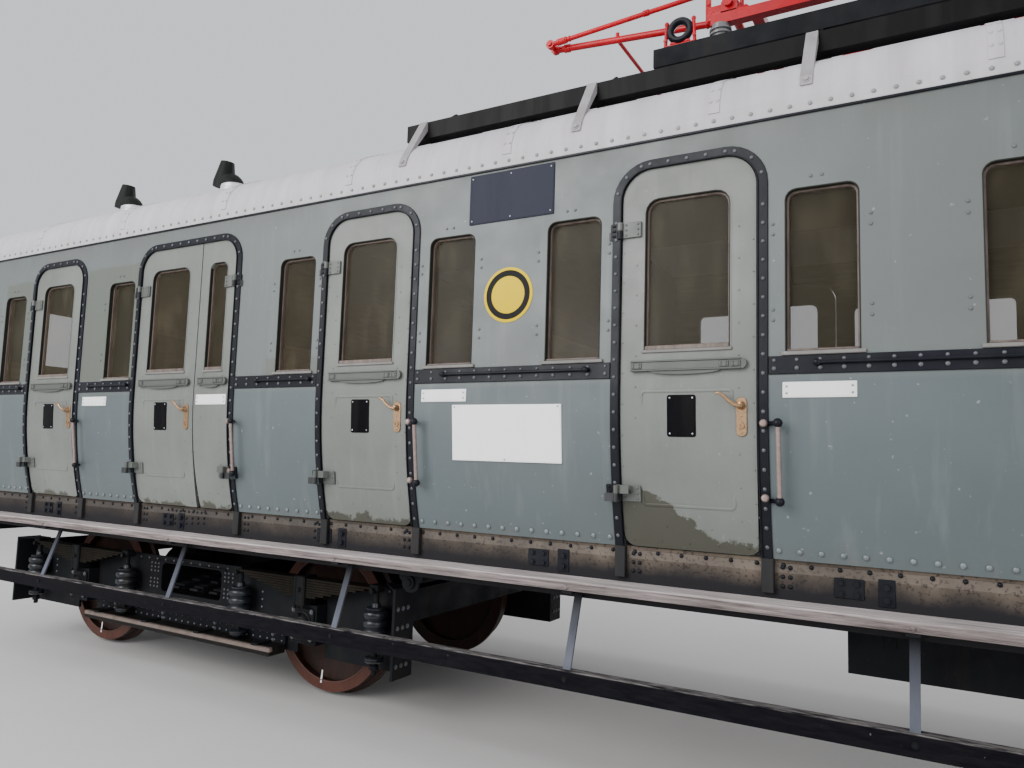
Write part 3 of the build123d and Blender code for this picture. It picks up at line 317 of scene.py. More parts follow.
def wood(paper, dark, light, scale, gloss, weather=0.0):
    """Wood whose grain runs along one axis, with cracks where it is weathered."""
    grain = paper.cloud(3.0, 8.0, 0.68, 0.6, stretch=scale)
    base = grain.ramp(0.32, 0.7).mix(dark, light)
    base = (paper.cloud(2.3, 4.0).ramp(0.35, 0.7) * 0.35).mix(base, shade(dark, 0.8))
    crack = paper.cloud(1.5, 8.0, 0.75, stretch=(0.8, 40.0, 40.0)).ramp(0.60, 0.68)
    base = (crack * (0.3 + 0.5 * weather)).mix(base, shade(dark, 0.35))
    paper.coat(base, gloss, (grain - crack * 1.5, 0.35 + 0.3 * weather, 0.003))


def plank_wood(paper):
    """Bleached footboard: pale on top, darker and browner on its edge."""
    grain = paper.cloud(3.0, 9.0, 0.7, 0.5, stretch=(0.9, 15.0, 22.0))
    top = grain.ramp(0.32, 0.68).mix((0.23, 0.20, 0.192), (0.68, 0.61, 0.60))
    edge = grain.ramp(0.34, 0.68).mix((0.066, 0.053, 0.050), (0.34, 0.284, 0.278))
    base = paper.axis("Z").ramp(1.078, 1.087).mix(edge, top)
    blotch = paper.cloud(1.3, 6.0, 0.6, stretch=(2.0, 6.0, 6.0)).ramp(0.52, 0.75)
    base = (blotch * 0.45).mix(base, (0.16, 0.135, 0.125))
    crack = paper.cloud(1.5, 8.0, 0.75, stretch=(0.7, 40.0, 40.0)).ramp(0.60, 0.67)
    base = (crack * 0.7).mix(base, (0.055, 0.042, 0.038))
    paper.coat(base, 0.82, (grain - crack * 1.6, 0.6, 0.004), 0.25)


def bare_metal(paper, colour, rust, rustiness, gloss, metallic):
    """Dull metal with rust in clouds."""
    spread = paper.cloud(9.0, 7.0, 0.65).ramp(0.62 - 0.3 * rustiness, 0.72 - 0.2 * rustiness)
    base = paper.cloud(60.0, 4.0).ramp(0.3, 0.7).mix(shade(colour, 0.8), shade(colour, 1.15))
    base = (spread * (rustiness * 2)).mix(base, rust)
    paper.coat(base, spread.ramp(0.0, 1.0, *gloss), (paper.cloud(80.0, 4.0), 0.25, 0.001), metallic=metallic)


def window_glass(paper):
    """Old glass: most of what lies behind shows through a thin olive film of dust."""
    dust = paper.cloud(2.0, 6.0, stretch=(4.0, 4.0, 1.5)).ramp(0.5, 0.85)
    values = {"Base Color": dust.mix((0.070, 0.061, 0.039), (0.150, 0.131, 0.085)),
              "Roughness": dust.ramp(0.0, 1.0, 0.24, 0.34), "IOR": 1.3, "Specular IOR Level": 0.35,
              "Alpha": 0.26}
    for name, value in values.items():
        feed(paper.shader.inputs[name], value)


def brown_dust(paper):
    """Colour of the brown dust on the sole bars, with dark oil drops, and the clouds in it."""
    clouds = paper.cloud(5.0, 7.0, 0.62)
    brown = clouds.ramp(0.3, 0.7).mix((0.058, 0.046, 0.036), (0.150, 0.118, 0.090))
    distance = abs(paper.axis("X") + 0.6).ramp(1.4, 4.5, 0.0, 0.72)
    brown = distance.mix(brown, (0.022, 0.018, 0.016))
    drops = paper.cloud(60.0, 4.0, 0.6).ramp(0.55, 0.62)
    return (drops * 0.7).mix(brown, (0.024, 0.018, 0.014)), clouds


def sole_bar_paint(paper):
    """Brown dust over black paint: brown where the panel drips, black towards the footboard."""
    brown, clouds = brown_dust(paper)
    base = (paper.axis("Z") + clouds * 0.08).ramp(1.165, 1.268).mix((0.013, 0.012, 0.014), brown)
    paper.coat(base, 0.7, (paper.cloud(50.0, 5.0), 0.4, 0.002), 0.2)


def floor_paint(paper):
    """Brown linoleum inside, the dust of the sole bars on the outer edge."""
    brown, clouds = brown_dust(paper)
    inside = clouds.ramp(0.3, 0.7).mix((0.045, 0.030, 0.020), (0.085, 0.058, 0.040))
    edge = abs(paper.axis("Y")).ramp(1.300, 1.305)
    paper.coat(edge.mix(inside, brown), 0.6, (paper.cloud(50.0, 5.0), 0.3, 0.002))


def flat_enamel(paper, colour, wear, worn, film_share=0.18, level=0.5):
    """Smooth enamel or glaze under a thin film of dirt, chipped in places."""
    chips = paper.cloud(16.0, 7.0, 0.7).ramp(0.66, 0.70)
    film = paper.cloud(1.0, 5.0, stretch=(12.0, 12.0, 1.5)).ramp(0.4, 0.8)
    base = (chips * worn).mix((film * film_share).mix(colour, wear), wear)
    paper.coat(base, film.ramp(0.0, 1.0, 0.22, 0.40), (paper.cloud(30.0, 3.0), 0.12, 0.001), level)


def step_paint(paper):
    """Black step beam whose upper edge is scuffed bare."""
    fine = paper.cloud(3.0, 7.0, 0.7, stretch=(3.0, 20.0, 20.0))
    base = fine.ramp(0.35, 0.72).mix((0.004, 0.004, 0.006), (0.011, 0.010, 0.012))
    scuff = paper.axis("Z").ramp(0.650, 0.655) * fine.ramp(0.38, 0.62)
    base = scuff.mix(base, (0.20, 0.185, 0.18))
    base = (paper.cloud(28.0, 5.0, 0.6).ramp(0.70, 0.73) * 0.5).mix(base, (0.20, 0.19, 0.18))
    paper.coat(base, fine.ramp(0.3, 0.7, 0.42, 0.68), (paper.cloud(50.0, 4.0), 0.25, 0.0015), 0.04)


def split_paint(paper, dark, pale, axis, border, level=0.1, also=None):
    """Dark paint that turns pale beyond a border on one axis, or beyond borders on two axes."""
    share = abs(paper.axis(axis)).ramp(*border)
    if also:
        share = share * paper.axis(also[0]).ramp(also[1], also[2])
    soot = paper.cloud(1.4, 6.0, 0.62, stretch=(9.0, 9.0, 1.2)).ramp(0.45, 0.75)
    light = (soot * 0.5).mix(pale, shade(pale, 0.42))
    grey = (soot * 0.5).mix(dark, shade(dark, 3.2))
    paper.coat(share.mix(grey, light), soot.ramp(0.0, 1.0, 0.42, 0.7), (paper.cloud(55.0, 4.0), 0.25, 0.0015),
               level)


def floor_cloth(paper):
    """The plain floor of the stage."""
    colour = tuple(bpy.context.scene.railcar_stage.floor)
    tint = paper.cloud(0.8, 4.0).ramp(0.3, 0.7)
    feed(paper.shader.inputs["Base Color"], tint.mix(shade(colour, 0.97), shade(colour, 1.03)))
    paper.shader.inputs["Roughness"].default_value = 0.85


SURFACES = {
    "grey_green_wall_paint": (wall_paint,),
    "grey_green_door_paint": (door_paint,),
    "pale_roof_paint": (roof_paint,),
    "old_window_glass": (window_glass,),
    "dusty_sole_bar_paint": (sole_bar_paint,),
    "floor_linoleum_dusty_edge": (floor_paint,),
    "scuffed_step_paint": (step_paint,),
    "weathered_plank_wood": (plank_wood,),
    "plain_studio_floor": (floor_cloth,),
    # Dark and pale colour, axis, border, mirror level, second axis with its border
    # Guard plank: near-black over most of it as painted shade under the car. Its weathered wood colour shows
    # only along the outer top edge.
    "sooty_guard_plank": (split_paint, (0.010, 0.009, 0.008), (0.21, 0.165, 0.145), "Y", (1.122, 1.130), 0.1,
                          ("Z", 0.3215, 0.3265)),
    "black_channel_pale_brackets": (split_paint, (0.006, 0.006, 0.006), (0.33, 0.315, 0.32), "Y",
                                    (1.2402, 1.2410)),
    "black_hood_silver_seat": (split_paint, (0.010, 0.011, 0.010), (0.62, 0.60, 0.62), "Z", (3.912, 3.906)),
    # Struts: darker towards the top as a painted shadow under the footboard, grey-blue paint lower down.
    "worn_strut_paint": (split_paint, (0.010, 0.010, 0.012), (0.100, 0.108, 0.135), "Z", (1.02, 0.70)),
    # Wheels: the near-black inner part is partly soot and partly painted shade under the car. The outer face
    # is rusty brown.
    "sooty_wheel_rusty_tyre": (split_paint, (0.024, 0.011, 0.008), (0.084, 0.032, 0.022), "Y", (0.806, 0.812),
                               0.25),
    # Colour, dirt, gloss, streaks, cloudiness, specks, mirror level
    "black_trim_paint": (painted_metal, "trim", (0.040, 0.036, 0.030), (0.26, 0.45), 0.25, 0.25, 0.6, 0.18),
    "red_collector_paint": (painted_metal, "collector", (0.060, 0.004, 0.006), (0.18, 0.38), 0.30, 0.28, 0.1,
                            0.3),
    "black_running_gear_paint": (painted_metal, (0.007, 0.008, 0.010), (0.026, 0.020, 0.015), (0.5, 0.8),
                                 0.45, 0.3, 0.6, 0.14),
    # Bolt heads: lighter grey than the black they sit on, as a painted highlight on each head.
    "bright_worn_bolt_heads": (painted_metal, (0.085, 0.088, 0.098), (0.035, 0.030, 0.026), (0.25, 0.42), 0.2,
                               0.3, 0.5),
    # Eave rivet heads: darker than the pale hem, as painted shade round each head.
    "grey_eave_rivet_heads": (painted_metal, (0.27, 0.265, 0.265), (0.12, 0.12, 0.10), (0.3, 0.5), 0.3, 0.2,
                              0.3),
    # Hem rivet heads: paler than the panel, as a painted highlight on each dome.
    "pale_rubbed_rivet_heads": (painted_metal, (0.165, 0.190, 0.195), (0.10, 0.11, 0.105), (0.3, 0.45), 0.2,
                                0.2, 0.5),
    "silver_collar_paint": (painted_metal, (0.60, 0.58, 0.62), (0.25, 0.22, 0.22), (0.3, 0.5), 0.3, 0.1, 0.2,
                            0.5, 0.3),
    "pale_bracket_paint": (painted_metal, (0.34, 0.325, 0.335), (0.14, 0.12, 0.10), (0.4, 0.6), 0.35, 0.12,
                           0.3),
    "pale_sill_paint": (painted_metal, (0.18, 0.172, 0.160), (0.07, 0.06, 0.05), (0.45, 0.65), 0.5, 0.2, 0.3),
    "dark_post_paint": (painted_metal, (0.018, 0.018, 0.019), (0.050, 0.040, 0.032), (0.4, 0.6), 0.5, 0.15,
                        0.3, 0.2),
    # Window reveals: dark partly from dirt and partly as painted shade inside the opening.
    "dirty_reveal_paint": (painted_metal, (0.022, 0.023, 0.019), (0.03, 0.028, 0.024), (0.5, 0.7), 0.6, 0.2,
                           0.2, 0.15),
    "worn_hinge_paint": (painted_metal, (0.098, 0.105, 0.096), (0.035, 0.032, 0.027), (0.35, 0.55), 0.6, 0.25,
                         0.6),
    "dusty_spring_steel": (painted_metal, (0.012, 0.010, 0.007), (0.026, 0.020, 0.014), (0.6, 0.85), 0.6, 0.3,
                           0.4, 0.12),
    "blue_black_coil_paint": (painted_metal, (0.009, 0.011, 0.015), (0.035, 0.028, 0.022), (0.25, 0.45), 0.35,
                              0.3, 0.6),
    "rusty_tyre_brown": (painted_metal, (0.088, 0.030, 0.019), (0.030, 0.014, 0.010), (0.45, 0.7), 0.45, 0.35,
                         0.15),
    # Dark and light colour, stretch of the grain, roughness, weather
    "varnished_cabin_wood": (wood, (0.09, 0.038, 0.015), (0.22, 0.10, 0.045), (3.0, 3.0, 22.0), 0.38),
    "varnished_bench_wood": (wood, (0.20, 0.11, 0.045), (0.38, 0.23, 0.11), (14.0, 1.2, 14.0), 0.35),
    "dull_sash_wood": (wood, (0.080, 0.058, 0.047), (0.22, 0.168, 0.140), (9.0, 9.0, 1.5), 0.55, 0.3),
    # Colour, rust, rustiness, gloss, metal share
    "aged_brass": (bare_metal, (0.42, 0.265, 0.15), (0.16, 0.10, 0.05), 0.3, (0.28, 0.5), 0.8),
    "dull_steel": (bare_metal, (0.42, 0.42, 0.43), (0.10, 0.05, 0.03), 0.25, (0.3, 0.55), 0.9),
    "dull_pink_rail_metal": (bare_metal, (0.30, 0.225, 0.205), (0.16, 0.10, 0.08), 0.2, (0.35, 0.55), 0.4),
    # Colour, wear, share of chips, share of film, mirror level
    "clear_lamp_lens": (flat_enamel, (0.42, 0.44, 0.42), (0.2, 0.2, 0.18), 0.2),
    "grey_insulator_glaze": (flat_enamel, (0.15, 0.15, 0.155), (0.06, 0.055, 0.05), 0.2),
    "black_enamel": (flat_enamel, (0.003, 0.003, 0.004), (0.20, 0.18, 0.15), 0.35, 0.02, 0.07),
    "blue_black_enamel": (flat_enamel, (0.008, 0.010, 0.025), (0.03, 0.03, 0.045), 0.2, 0.05, 0.10),
    "yellow_enamel": (flat_enamel, (0.72, 0.51, 0.0), (0.35, 0.25, 0.0), 0.25, 0.02, 0.08),
    "white_enamel": (flat_enamel, (0.90, 0.91, 0.89), (0.45, 0.40, 0.35), 0.5),
    "white_notice_board": (flat_enamel, (1.0, 1.0, 1.0), (0.80, 0.79, 0.77), 0.1),
}


def surface(name):
    """The material of that name, made when it is first asked for."""
    material = bpy.data.materials.get(name)
    if not material:
        paint, *values = SURFACES[name]
        paper = Paper(name)
        paint(paper, *values)
        material = paper.material
    return material


# Ways of making a piece
def clear_selection():
    if bpy.context.object and bpy.context.object.mode != "OBJECT":
        bpy.ops.object.mode_set(mode="OBJECT")
    bpy.ops.object.select_all(action="DESELECT")


def picked(piece):
    clear_selection()
    piece.select_set(True)
    bpy.context.view_layer.objects.active = piece


def edit(piece):
    picked(piece)
    bpy.ops.object.mode_set(mode="EDIT")
    bpy.ops.mesh.select_mode(type="VERT")
    bpy.ops.mesh.select_all(action="SELECT")


def choose(piece, kind, test):
    """Selects the faces or edges in edit mode whose middle and direction pass the test."""
    bpy.ops.mesh.select_all(action="DESELECT")
    bpy.ops.mesh.select_mode(type=kind)
    mesh = bmesh.from_edit_mesh(piece.data)
    for part in mesh.faces if kind == "FACE" else mesh.edges:
        if kind == "FACE":
            middle, way = part.calc_center_median(), part.normal
        else:
            first, second = (vertex.co for vertex in part.verts)
            middle, way = (first + second) / 2, (second - first).normalized()
        if test(middle, way):
            part.select_set(True)
    mesh.select_flush_mode()
    bmesh.update_edit_mesh(piece.data)


def ease_sharp(angle, bevel):
    """Bevels the sharp edges of the piece in edit mode."""
    bpy.ops.mesh.select_mode(type="EDGE")
    bpy.ops.mesh.select_all(action="DESELECT")
    bpy.ops.mesh.edges_select_sharp(sharpness=math.radians(angle))
    bpy.ops.mesh.bevel(offset=bevel, segments=1, affect="EDGES")


def slab(low, high, bevel=0.002, corner=0.0, through="Y", above=-1000.0):
    """A plate or bar between two corners, with rounded corner edges along one axis and eased outer edges."""
    clear_selection()
    low, high = Vector(low), Vector(high)
    bpy.ops.mesh.primitive_cube_add(size=1.0, location=(0, 0, 0))
    piece = bpy.context.object
    edit(piece)
    bpy.ops.transform.resize(value=[abs(length) for length in high - low])
    bpy.ops.transform.translate(value=(low + high) / 2)
    if corner > 0:
        axis = "XYZ".index(through)
        choose(piece, "EDGE", lambda middle, way: abs(way[axis]) > 0.99 and middle.z > above)
        bpy.ops.mesh.bevel(offset=corner, segments=4, affect="EDGES")
    if bevel > 0:
        ease_sharp(60, bevel)
    bpy.ops.object.mode_set(mode="OBJECT")
    return piece


def plate(x, half, y, z, bevel=0.002, corner=0.0, through="Y"):
    """A slab that reaches equally far to both sides of x, between two y and two z."""
    return slab((x - half, y[0], z[0]), (x + half, y[1], z[1]), bevel, corner, through)


def bar(start, end, radius, sides=12, bevel=0.0015):
    """A round bar between two points with eased ends."""
    clear_selection()
    start, end = Vector(start), Vector(end)
    way = end - start
    bpy.ops.mesh.primitive_cylinder_add(vertices=sides, radius=radius, depth=way.length,
                                        location=(start + end) / 2,
                                        rotation=way.to_track_quat("Z", "Y").to_euler())
    piece = bpy.context.object
    bpy.ops.object.transform_apply(location=True, rotation=True, scale=True)
    if bevel > 0:
        unit = way.normalized()
        edit(piece)
        choose(piece, "FACE", lambda middle, normal: abs(normal.dot(unit)) > 0.99)
        bpy.ops.mesh.bevel(offset=bevel, segments=1, affect="EDGES")
        bpy.ops.object.mode_set(mode="OBJECT")
    return piece


def cross_bar(x, reach, z, radius, sides=12):
    """A round bar across the car, equally far to both sides."""
    return bar((x, -reach, z), (x, reach, z), radius, sides)


def turned(profile, centre, axis="Y", steps=24):
    """A round shape: its half profile, as distance along the axis and radius, spun about the axis."""
    clear_selection()
    centre = Vector(centre)
    along = Vector([float(name == axis) for name in "XYZ"])
    out = Vector(ALONG if axis == "Z" else UPWARD)
    points = [centre + along * u + out * r for u, r in profile]
    bpy.ops.mesh.primitive_plane_add(size=0.001, location=(0, 0, 0))
    piece = bpy.context.object
    edit(piece)
    bpy.ops.mesh.merge(type="CENTER")
    bpy.ops.transform.translate(value=points[0])
    for before, after in zip(points, points[1:]):
        pull(after - before)
    bpy.ops.mesh.select_all(action="SELECT")
    bpy.ops.mesh.spin(steps=steps, angle=math.radians(360), center=centre, axis=along)
    close_up()
    bpy.ops.object.mode_set(mode="OBJECT")
    return piece


def pull(way):
    """Draws what is selected out along a way."""
    bpy.ops.mesh.extrude_region_move(TRANSFORM_OT_translate={"value": way})


def close_up():
    """Merges the seams of the piece in edit mode and turns its faces outwards."""
    bpy.ops.mesh.select_all(action="SELECT")
    bpy.ops.mesh.remove_doubles(threshold=0.00001)
    bpy.ops.mesh.normals_make_consistent(inside=False)


def rivet(centre, radius, count=1, step=None, outward=NEAR, sides=8):
    """A dome head that stands on a surface, or a row of them."""
    clear_selection()
    bpy.ops.mesh.primitive_uv_sphere_add(segments=sides, ring_count=6, radius=radius, location=(0, 0, 0))
    piece = bpy.context.object
    edit(piece)
    choose(piece, "FACE", lambda middle, way: middle.z < 0)
    bpy.ops.mesh.delete(type="FACE")
    bpy.ops.mesh.select_all(action="SELECT")
    bpy.ops.transform.resize(value=(1.0, 1.0, 0.62))
    bpy.ops.object.mode_set(mode="OBJECT")
    piece.data.transform(standing(centre, outward))
    return repeated(piece, count, step) if count > 1 else piece


def standing(place, way):
    """The turn and shift that stand a piece from the origin on a place, its top along a way."""
    return Matrix.Translation(Vector(place)) @ Vector(way).to_track_quat("Z", "Y").to_matrix().to_4x4()


def about(place, turn):
    """A turn or stretch about a place."""
    return Matrix.Translation(place) @ turn @ Matrix.Translation(-Vector(place))


def bolt(centre, radius, outward=NEAR):
    """A six-sided bolt head on a round washer."""
    centre, outward = Vector(centre), Vector(outward)
    washer = bar(centre - outward * 0.001, centre + outward * 0.003, radius * 1.45, 12, 0.0)
    return joined([washer, bar(centre, centre + outward * radius * 0.85, radius, 6, 0.001)])


def ball(centre, radius, sides=12):
    clear_selection()
    bpy.ops.mesh.primitive_uv_sphere_add(segments=sides, ring_count=max(6, sides // 2), radius=radius,
                                         location=centre)
    bpy.ops.object.transform_apply(location=True, rotation=True, scale=True)
    return bpy.context.object


def skinned(rings):
    """A closed mesh through rings of points."""
    mesh = bmesh.new()
    rows = [[mesh.verts.new(point) for point in ring] for ring in rings]
    for before, after in zip(rows, rows[1:]):
        for corner in range(len(before)):
            following = (corner + 1) % len(before)
            mesh.faces.new((before[corner], before[following], after[following], after[corner]))
    mesh.faces.new(rows[0])
    mesh.faces.new(list(reversed(rows[-1])))
    bmesh.ops.recalc_face_normals(mesh, faces=mesh.faces)
    data = bpy.data.meshes.new("skin")
    mesh.to_mesh(data)
    mesh.free()
    piece = bpy.data.objects.new("skin", data)
    bpy.context.scene.collection.objects.link(piece)
    return piece


def helix(start, end, radius, wire, turns, around, sides):
    """A coil spring of round wire between two points, made ring by ring."""
    start, end = Vector(start), Vector(end)
    way = (end - start).normalized()
    out = way.orthogonal().normalized()
    side = way.cross(out)
    corners = [math.tau * corner / sides for corner in range(sides)]
    rings = []
    for index in range(turns * around + 1):
        angle = math.tau * index / around
        ray = out * math.cos(angle) + side * math.sin(angle)
        middle = start.lerp(end, index / (turns * around)) + ray * radius
        rings.append([middle + (ray * math.cos(turn) + way * math.sin(turn)) * wire for turn in corners])
    return skinned(rings)


def repeated(piece, count, step):
    """The piece in a straight row, as one mesh."""
    picked(piece)
    row = piece.modifiers.new("row", "ARRAY")
    row.use_relative_offset = False
    row.use_constant_offset = True
    row.constant_offset_displace = step
    row.count = count
    bpy.ops.object.modifier_apply(modifier=row.name)
    return piece


def copied(piece, shift=(0, 0, 0), turn=None):
    twin = piece.copy()
    twin.data = piece.data.copy()
    bpy.context.scene.collection.objects.link(twin)
    twin.data.transform(Matrix.Translation(Vector(shift)) @ (turn or Matrix()))
    return twin


def spread(piece, places):
    """Copies of the piece along the car, one at each place, instead of the piece itself."""
    twins = [copied(piece, (x, 0, 0)) for x in places]
    bpy.data.objects.remove(piece)
    return twins


def mirrored(piece, way):
    """The same piece on the other side of the middle plane across a way, right side out."""
    twin = copied(piece, turn=Matrix.Scale(-1, 4, way))
    twin.data.flip_normals()
    return twin


def both_sides(pieces):
    """The pieces and their twins on the far side, as one."""
    piece = joined(pieces)
    return joined([piece, mirrored(piece, NEAR)])


def joined(pieces):
    """The pieces as one."""
    if not isinstance(pieces, list):
        return pieces
    picked(pieces[0])
    for piece in pieces:
        piece.select_set(True)
    if len(pieces) > 1:
        bpy.ops.object.join()
    return bpy.context.view_layer.objects.active


def coated(pieces, name):
    """The pieces as one, with the surface of that name."""
    piece = joined(pieces)
    piece.data.materials.clear()
    piece.data.materials.append(surface(name))
    return piece


def hug_side(piece):
    """Leans a piece that was made against an upright wall onto the curved lower side."""
    for vertex in piece.data.vertices:
        drop = CURVE_TOP - vertex.co.z
        if drop > 0:
            inset = CURVE_RADIUS - math.sqrt(CURVE_RADIUS ** 2 - drop ** 2)
            vertex.co.y += inset if vertex.co.y < 0 else -inset
    return piece


def seated(piece, name, body):
    """Lifts the finished piece onto the rails, names it, smooths it and lets it ride on its body."""
    piece.data.transform(Matrix.Translation((0, 0, RAIL_HEAD)))
    piece.name = name
    piece.data.name = name
    picked(piece)
    bpy.ops.object.transform_apply(location=True, rotation=True, scale=True)
    bpy.ops.object.shade_smooth_by_angle(angle=math.radians(35))
    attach(piece, body)


def leaf_span(name):
    """Left and right edge of a leaf, without the knuckles of its hinges."""
    low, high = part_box(f"door_{name}_near")
    if "narrow" in name:
        return low.x, high.x - KNUCKLE - DOOR_GAP
    return low.x + KNUCKLE + DOOR_GAP, high.x


def doorway(name):
    """Middle and half width of the leaf or pair of leaves that fills a doorway."""
    left, right = leaf_span(name)
    if name == "2":
        right = leaf_span("2_narrow")[1]
    return (left + right) / 2, (right - left) / 2


def window_middles():
    """Middles of the side windows, read from the near wall's panes."""
    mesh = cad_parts["window_panes"].data
    places = sorted({round(vertex.co.x, 3) for vertex in mesh.vertices
                     if vertex.co.y < -1.38 and abs(vertex.co.x) < 7.95})
    return [(left + right) / 2 for left, right in zip(places, places[1:])
            if abs(right - left - 2 * WINDOW_HALF) < 0.004]


# Black strips, belt and rivets
def doorway_strip(middle, half, width, back, front):
    """A strip up one side of a doorway, round its head and down the other."""
    inner = half + STRIP_CLEARANCE
    clear_selection()
    bpy.ops.mesh.primitive_plane_add(size=1.0, location=(0, 0, 0))
    piece = bpy.context.object
    edit(piece)
    bpy.ops.transform.resize(value=(width, front - back, 1.0))
    bpy.ops.transform.translate(value=(middle - inner - width / 2, -WALL_Y - (front + back) / 2,
                                       PANEL_BOTTOM))
    rise = [(CURVE_TOP - PANEL_BOTTOM) / 9] * 9 + [ARCH_SPRING - CURVE_TOP]
    for height in rise:
        pull((0, 0, height))
    bpy.ops.mesh.spin(steps=8, angle=math.radians(-90), axis=(0, 1, 0),
                      center=(middle - inner + ARCH_RADIUS, 0, ARCH_SPRING))
    pull((2 * (inner - ARCH_RADIUS), 0, 0))
    bpy.ops.mesh.spin(steps=8, angle=math.radians(-90), axis=(0, 1, 0),
                      center=(middle + inner - ARCH_RADIUS, 0, ARCH_SPRING))
    for height in reversed(rise):
        pull((0, 0, -height))
    close_up()
    ease_sharp(70, 0.0025)
    bpy.ops.object.mode_set(mode="OBJECT")
    return piece


def doorway_rivets(middle, half):
    """Rivets on the middle line of a doorway strip."""
    sizes = bpy.context.scene.railcar_sizes
    radius, pitch = sizes.rivet_radius, sizes.rivet_pitch
    reach = half + STRIP_CLEARANCE + sizes.strip_width / 2 + 0.003
    corner = ARCH_RADIUS + sizes.strip_width / 2
    face, foot = -WALL_Y - 0.0088, PANEL_BOTTOM + 0.05
    rows = []
    for side in (-1, 1):
        rows.append(rivet((middle + side * reach, face, foot), radius, int((ARCH_SPRING - foot) / pitch),
                          (0, 0, pitch)))
        for angle in (15, 45, 75):
            x = middle + side * (reach - corner + corner * math.cos(math.radians(angle)))
            rows.append(rivet((x, face, ARCH_SPRING + corner * math.sin(math.radians(angle))), radius))
    span = 2 * (reach - corner)
    top = max(2, int(span / pitch) + 1)
    rows.append(rivet((middle - span / 2, face, ARCH_SPRING + corner), radius, top, (span / (top - 1), 0, 0)))
    return joined(rows)


def belt_spans():
    """Stretches of the wall between the doorway strips, from end to end."""
    width = bpy.context.scene.railcar_sizes.strip_width + STRIP_CLEARANCE + 0.002
    low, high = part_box("cantrails")
    edges = [low.x]
    for middle, half in map(doorway, ALL_DOORS):
        edges += [middle - half - width, middle + half + width]
    edges.append(high.x)
    return list(zip(edges[0::2], edges[1::2]))


def rod_spans():
    """The rods in front of the belt, from the middle of one window to the middle of the next."""
    middles = window_middles()
    spans = [(middles[0] - 0.19, middles[0] + 0.19)]
    for left, right in belt_spans()[1:-1]:
        inside = [middle for middle in middles if left < middle < right]
        if len(inside) == 2:
            spans.append((inside[0] - 0.02, inside[1] + 0.09))
        elif inside:
            spans.append((max(left + 0.04, inside[0] - 0.30), min(right - 0.04, inside[0] + 0.16)))
    return spans + [(middles[-1] - 0.19, middles[-1] + 0.19)]


def pane_ring(middle_x, low_z, high_z, half, corner, width, front_y, back_y, above=-1000.0):
    """A frame in a window opening, with round corners above a height."""
    ring = slab((middle_x - half, front_y, low_z), (middle_x + half, back_y, high_z), 0.0, corner,
                above=above)
    edit(ring)
    choose(ring, "FACE", lambda middle, way: abs(way.y) > 0.99)
    bpy.ops.mesh.inset(thickness=width, depth=0, use_individual=True)
    bpy.ops.mesh.delete(type="FACE")
    bpy.ops.mesh.select_mode(type="EDGE")
    bpy.ops.mesh.select_all(action="DESELECT")
    bpy.ops.mesh.select_non_manifold()
    bpy.ops.mesh.bridge_edge_loops()
    bpy.ops.mesh.select_all(action="SELECT")
    bpy.ops.mesh.normals_make_consistent(inside=False)
    bpy.ops.object.mode_set(mode="OBJECT")
    return ring


# Door fittings
def leaf_glass(middle, half, low, high, corner):
    """Painted rim, reveal, wood sash, sill, lip and pane of a door window."""
    y, left, right, middle_z = -WALL_Y, middle - half, middle + half, (low + high) / 2
    rim = pane_ring(middle, low - 0.004, high + 0.006, half + 0.006, corner + 0.006, 0.006, y - 0.002,
                    y + 0.002, middle_z)
    reveal = pane_ring(middle, low, high, half, corner, 0.005, y - 0.001, y + 0.020, middle_z)
    sash = pane_ring(middle, low, high, half, corner, 0.014, y + 0.020, y + 0.044, middle_z)
    sill = slab((left + 0.005, y - 0.003, low), (right - 0.005, y + 0.03, low + 0.022), 0.003)
    wooden = coated([sash, sill], "dull_sash_wood")
    lip = slab((left - 0.010, y - 0.009, low - 0.014), (right + 0.010, y + 0.01, low), 0.003)
    pane = slab((left + 0.012, y + 0.030, low + 0.012), (right - 0.012, y + 0.035, high - 0.012), 0.0,
                corner - 0.010, above=middle_z)
    framed = [coated(rim, "grey_green_door_paint"), coated(reveal, "dirty_reveal_paint"),
              coated(lip, "pale_sill_paint")]
    return [joined(framed), wooden, coated(pane, "old_window_glass")]


def hinge_plate(axis, way, low, high, knuckle_low, knuckle_high, name, reach=0.108):
    """Flat hinge plate on one side of the axis with two rows of rivets and its share of the knuckle."""
    y = -WALL_Y
    front = y - HINGE_REST + KNUCKLE / 2 - 0.0015
    near, far = sorted((axis + way * 0.005, axis + way * reach))
    parts = [slab((near, front, low), (far, y + 0.002, high), 0.0025, 0.006)]
    for share in (0.030, reach - 0.016):
        parts.append(rivet((axis + way * share, front, low + 0.014), 0.0065, 3,
                           (0, 0, (high - low - 0.028) / 2)))
    turn = KNUCKLE + 0.0015
    profile = [(knuckle_low, 0.0), (knuckle_low, turn - 0.002), (knuckle_low + 0.002, turn),
               (knuckle_high - 0.002, turn), (knuckle_high, turn - 0.002), (knuckle_high, 0.0)]
    parts.append(turned(profile, (axis, y - HINGE_REST, 0.0), "Z", 16))
    return coated(parts, name)


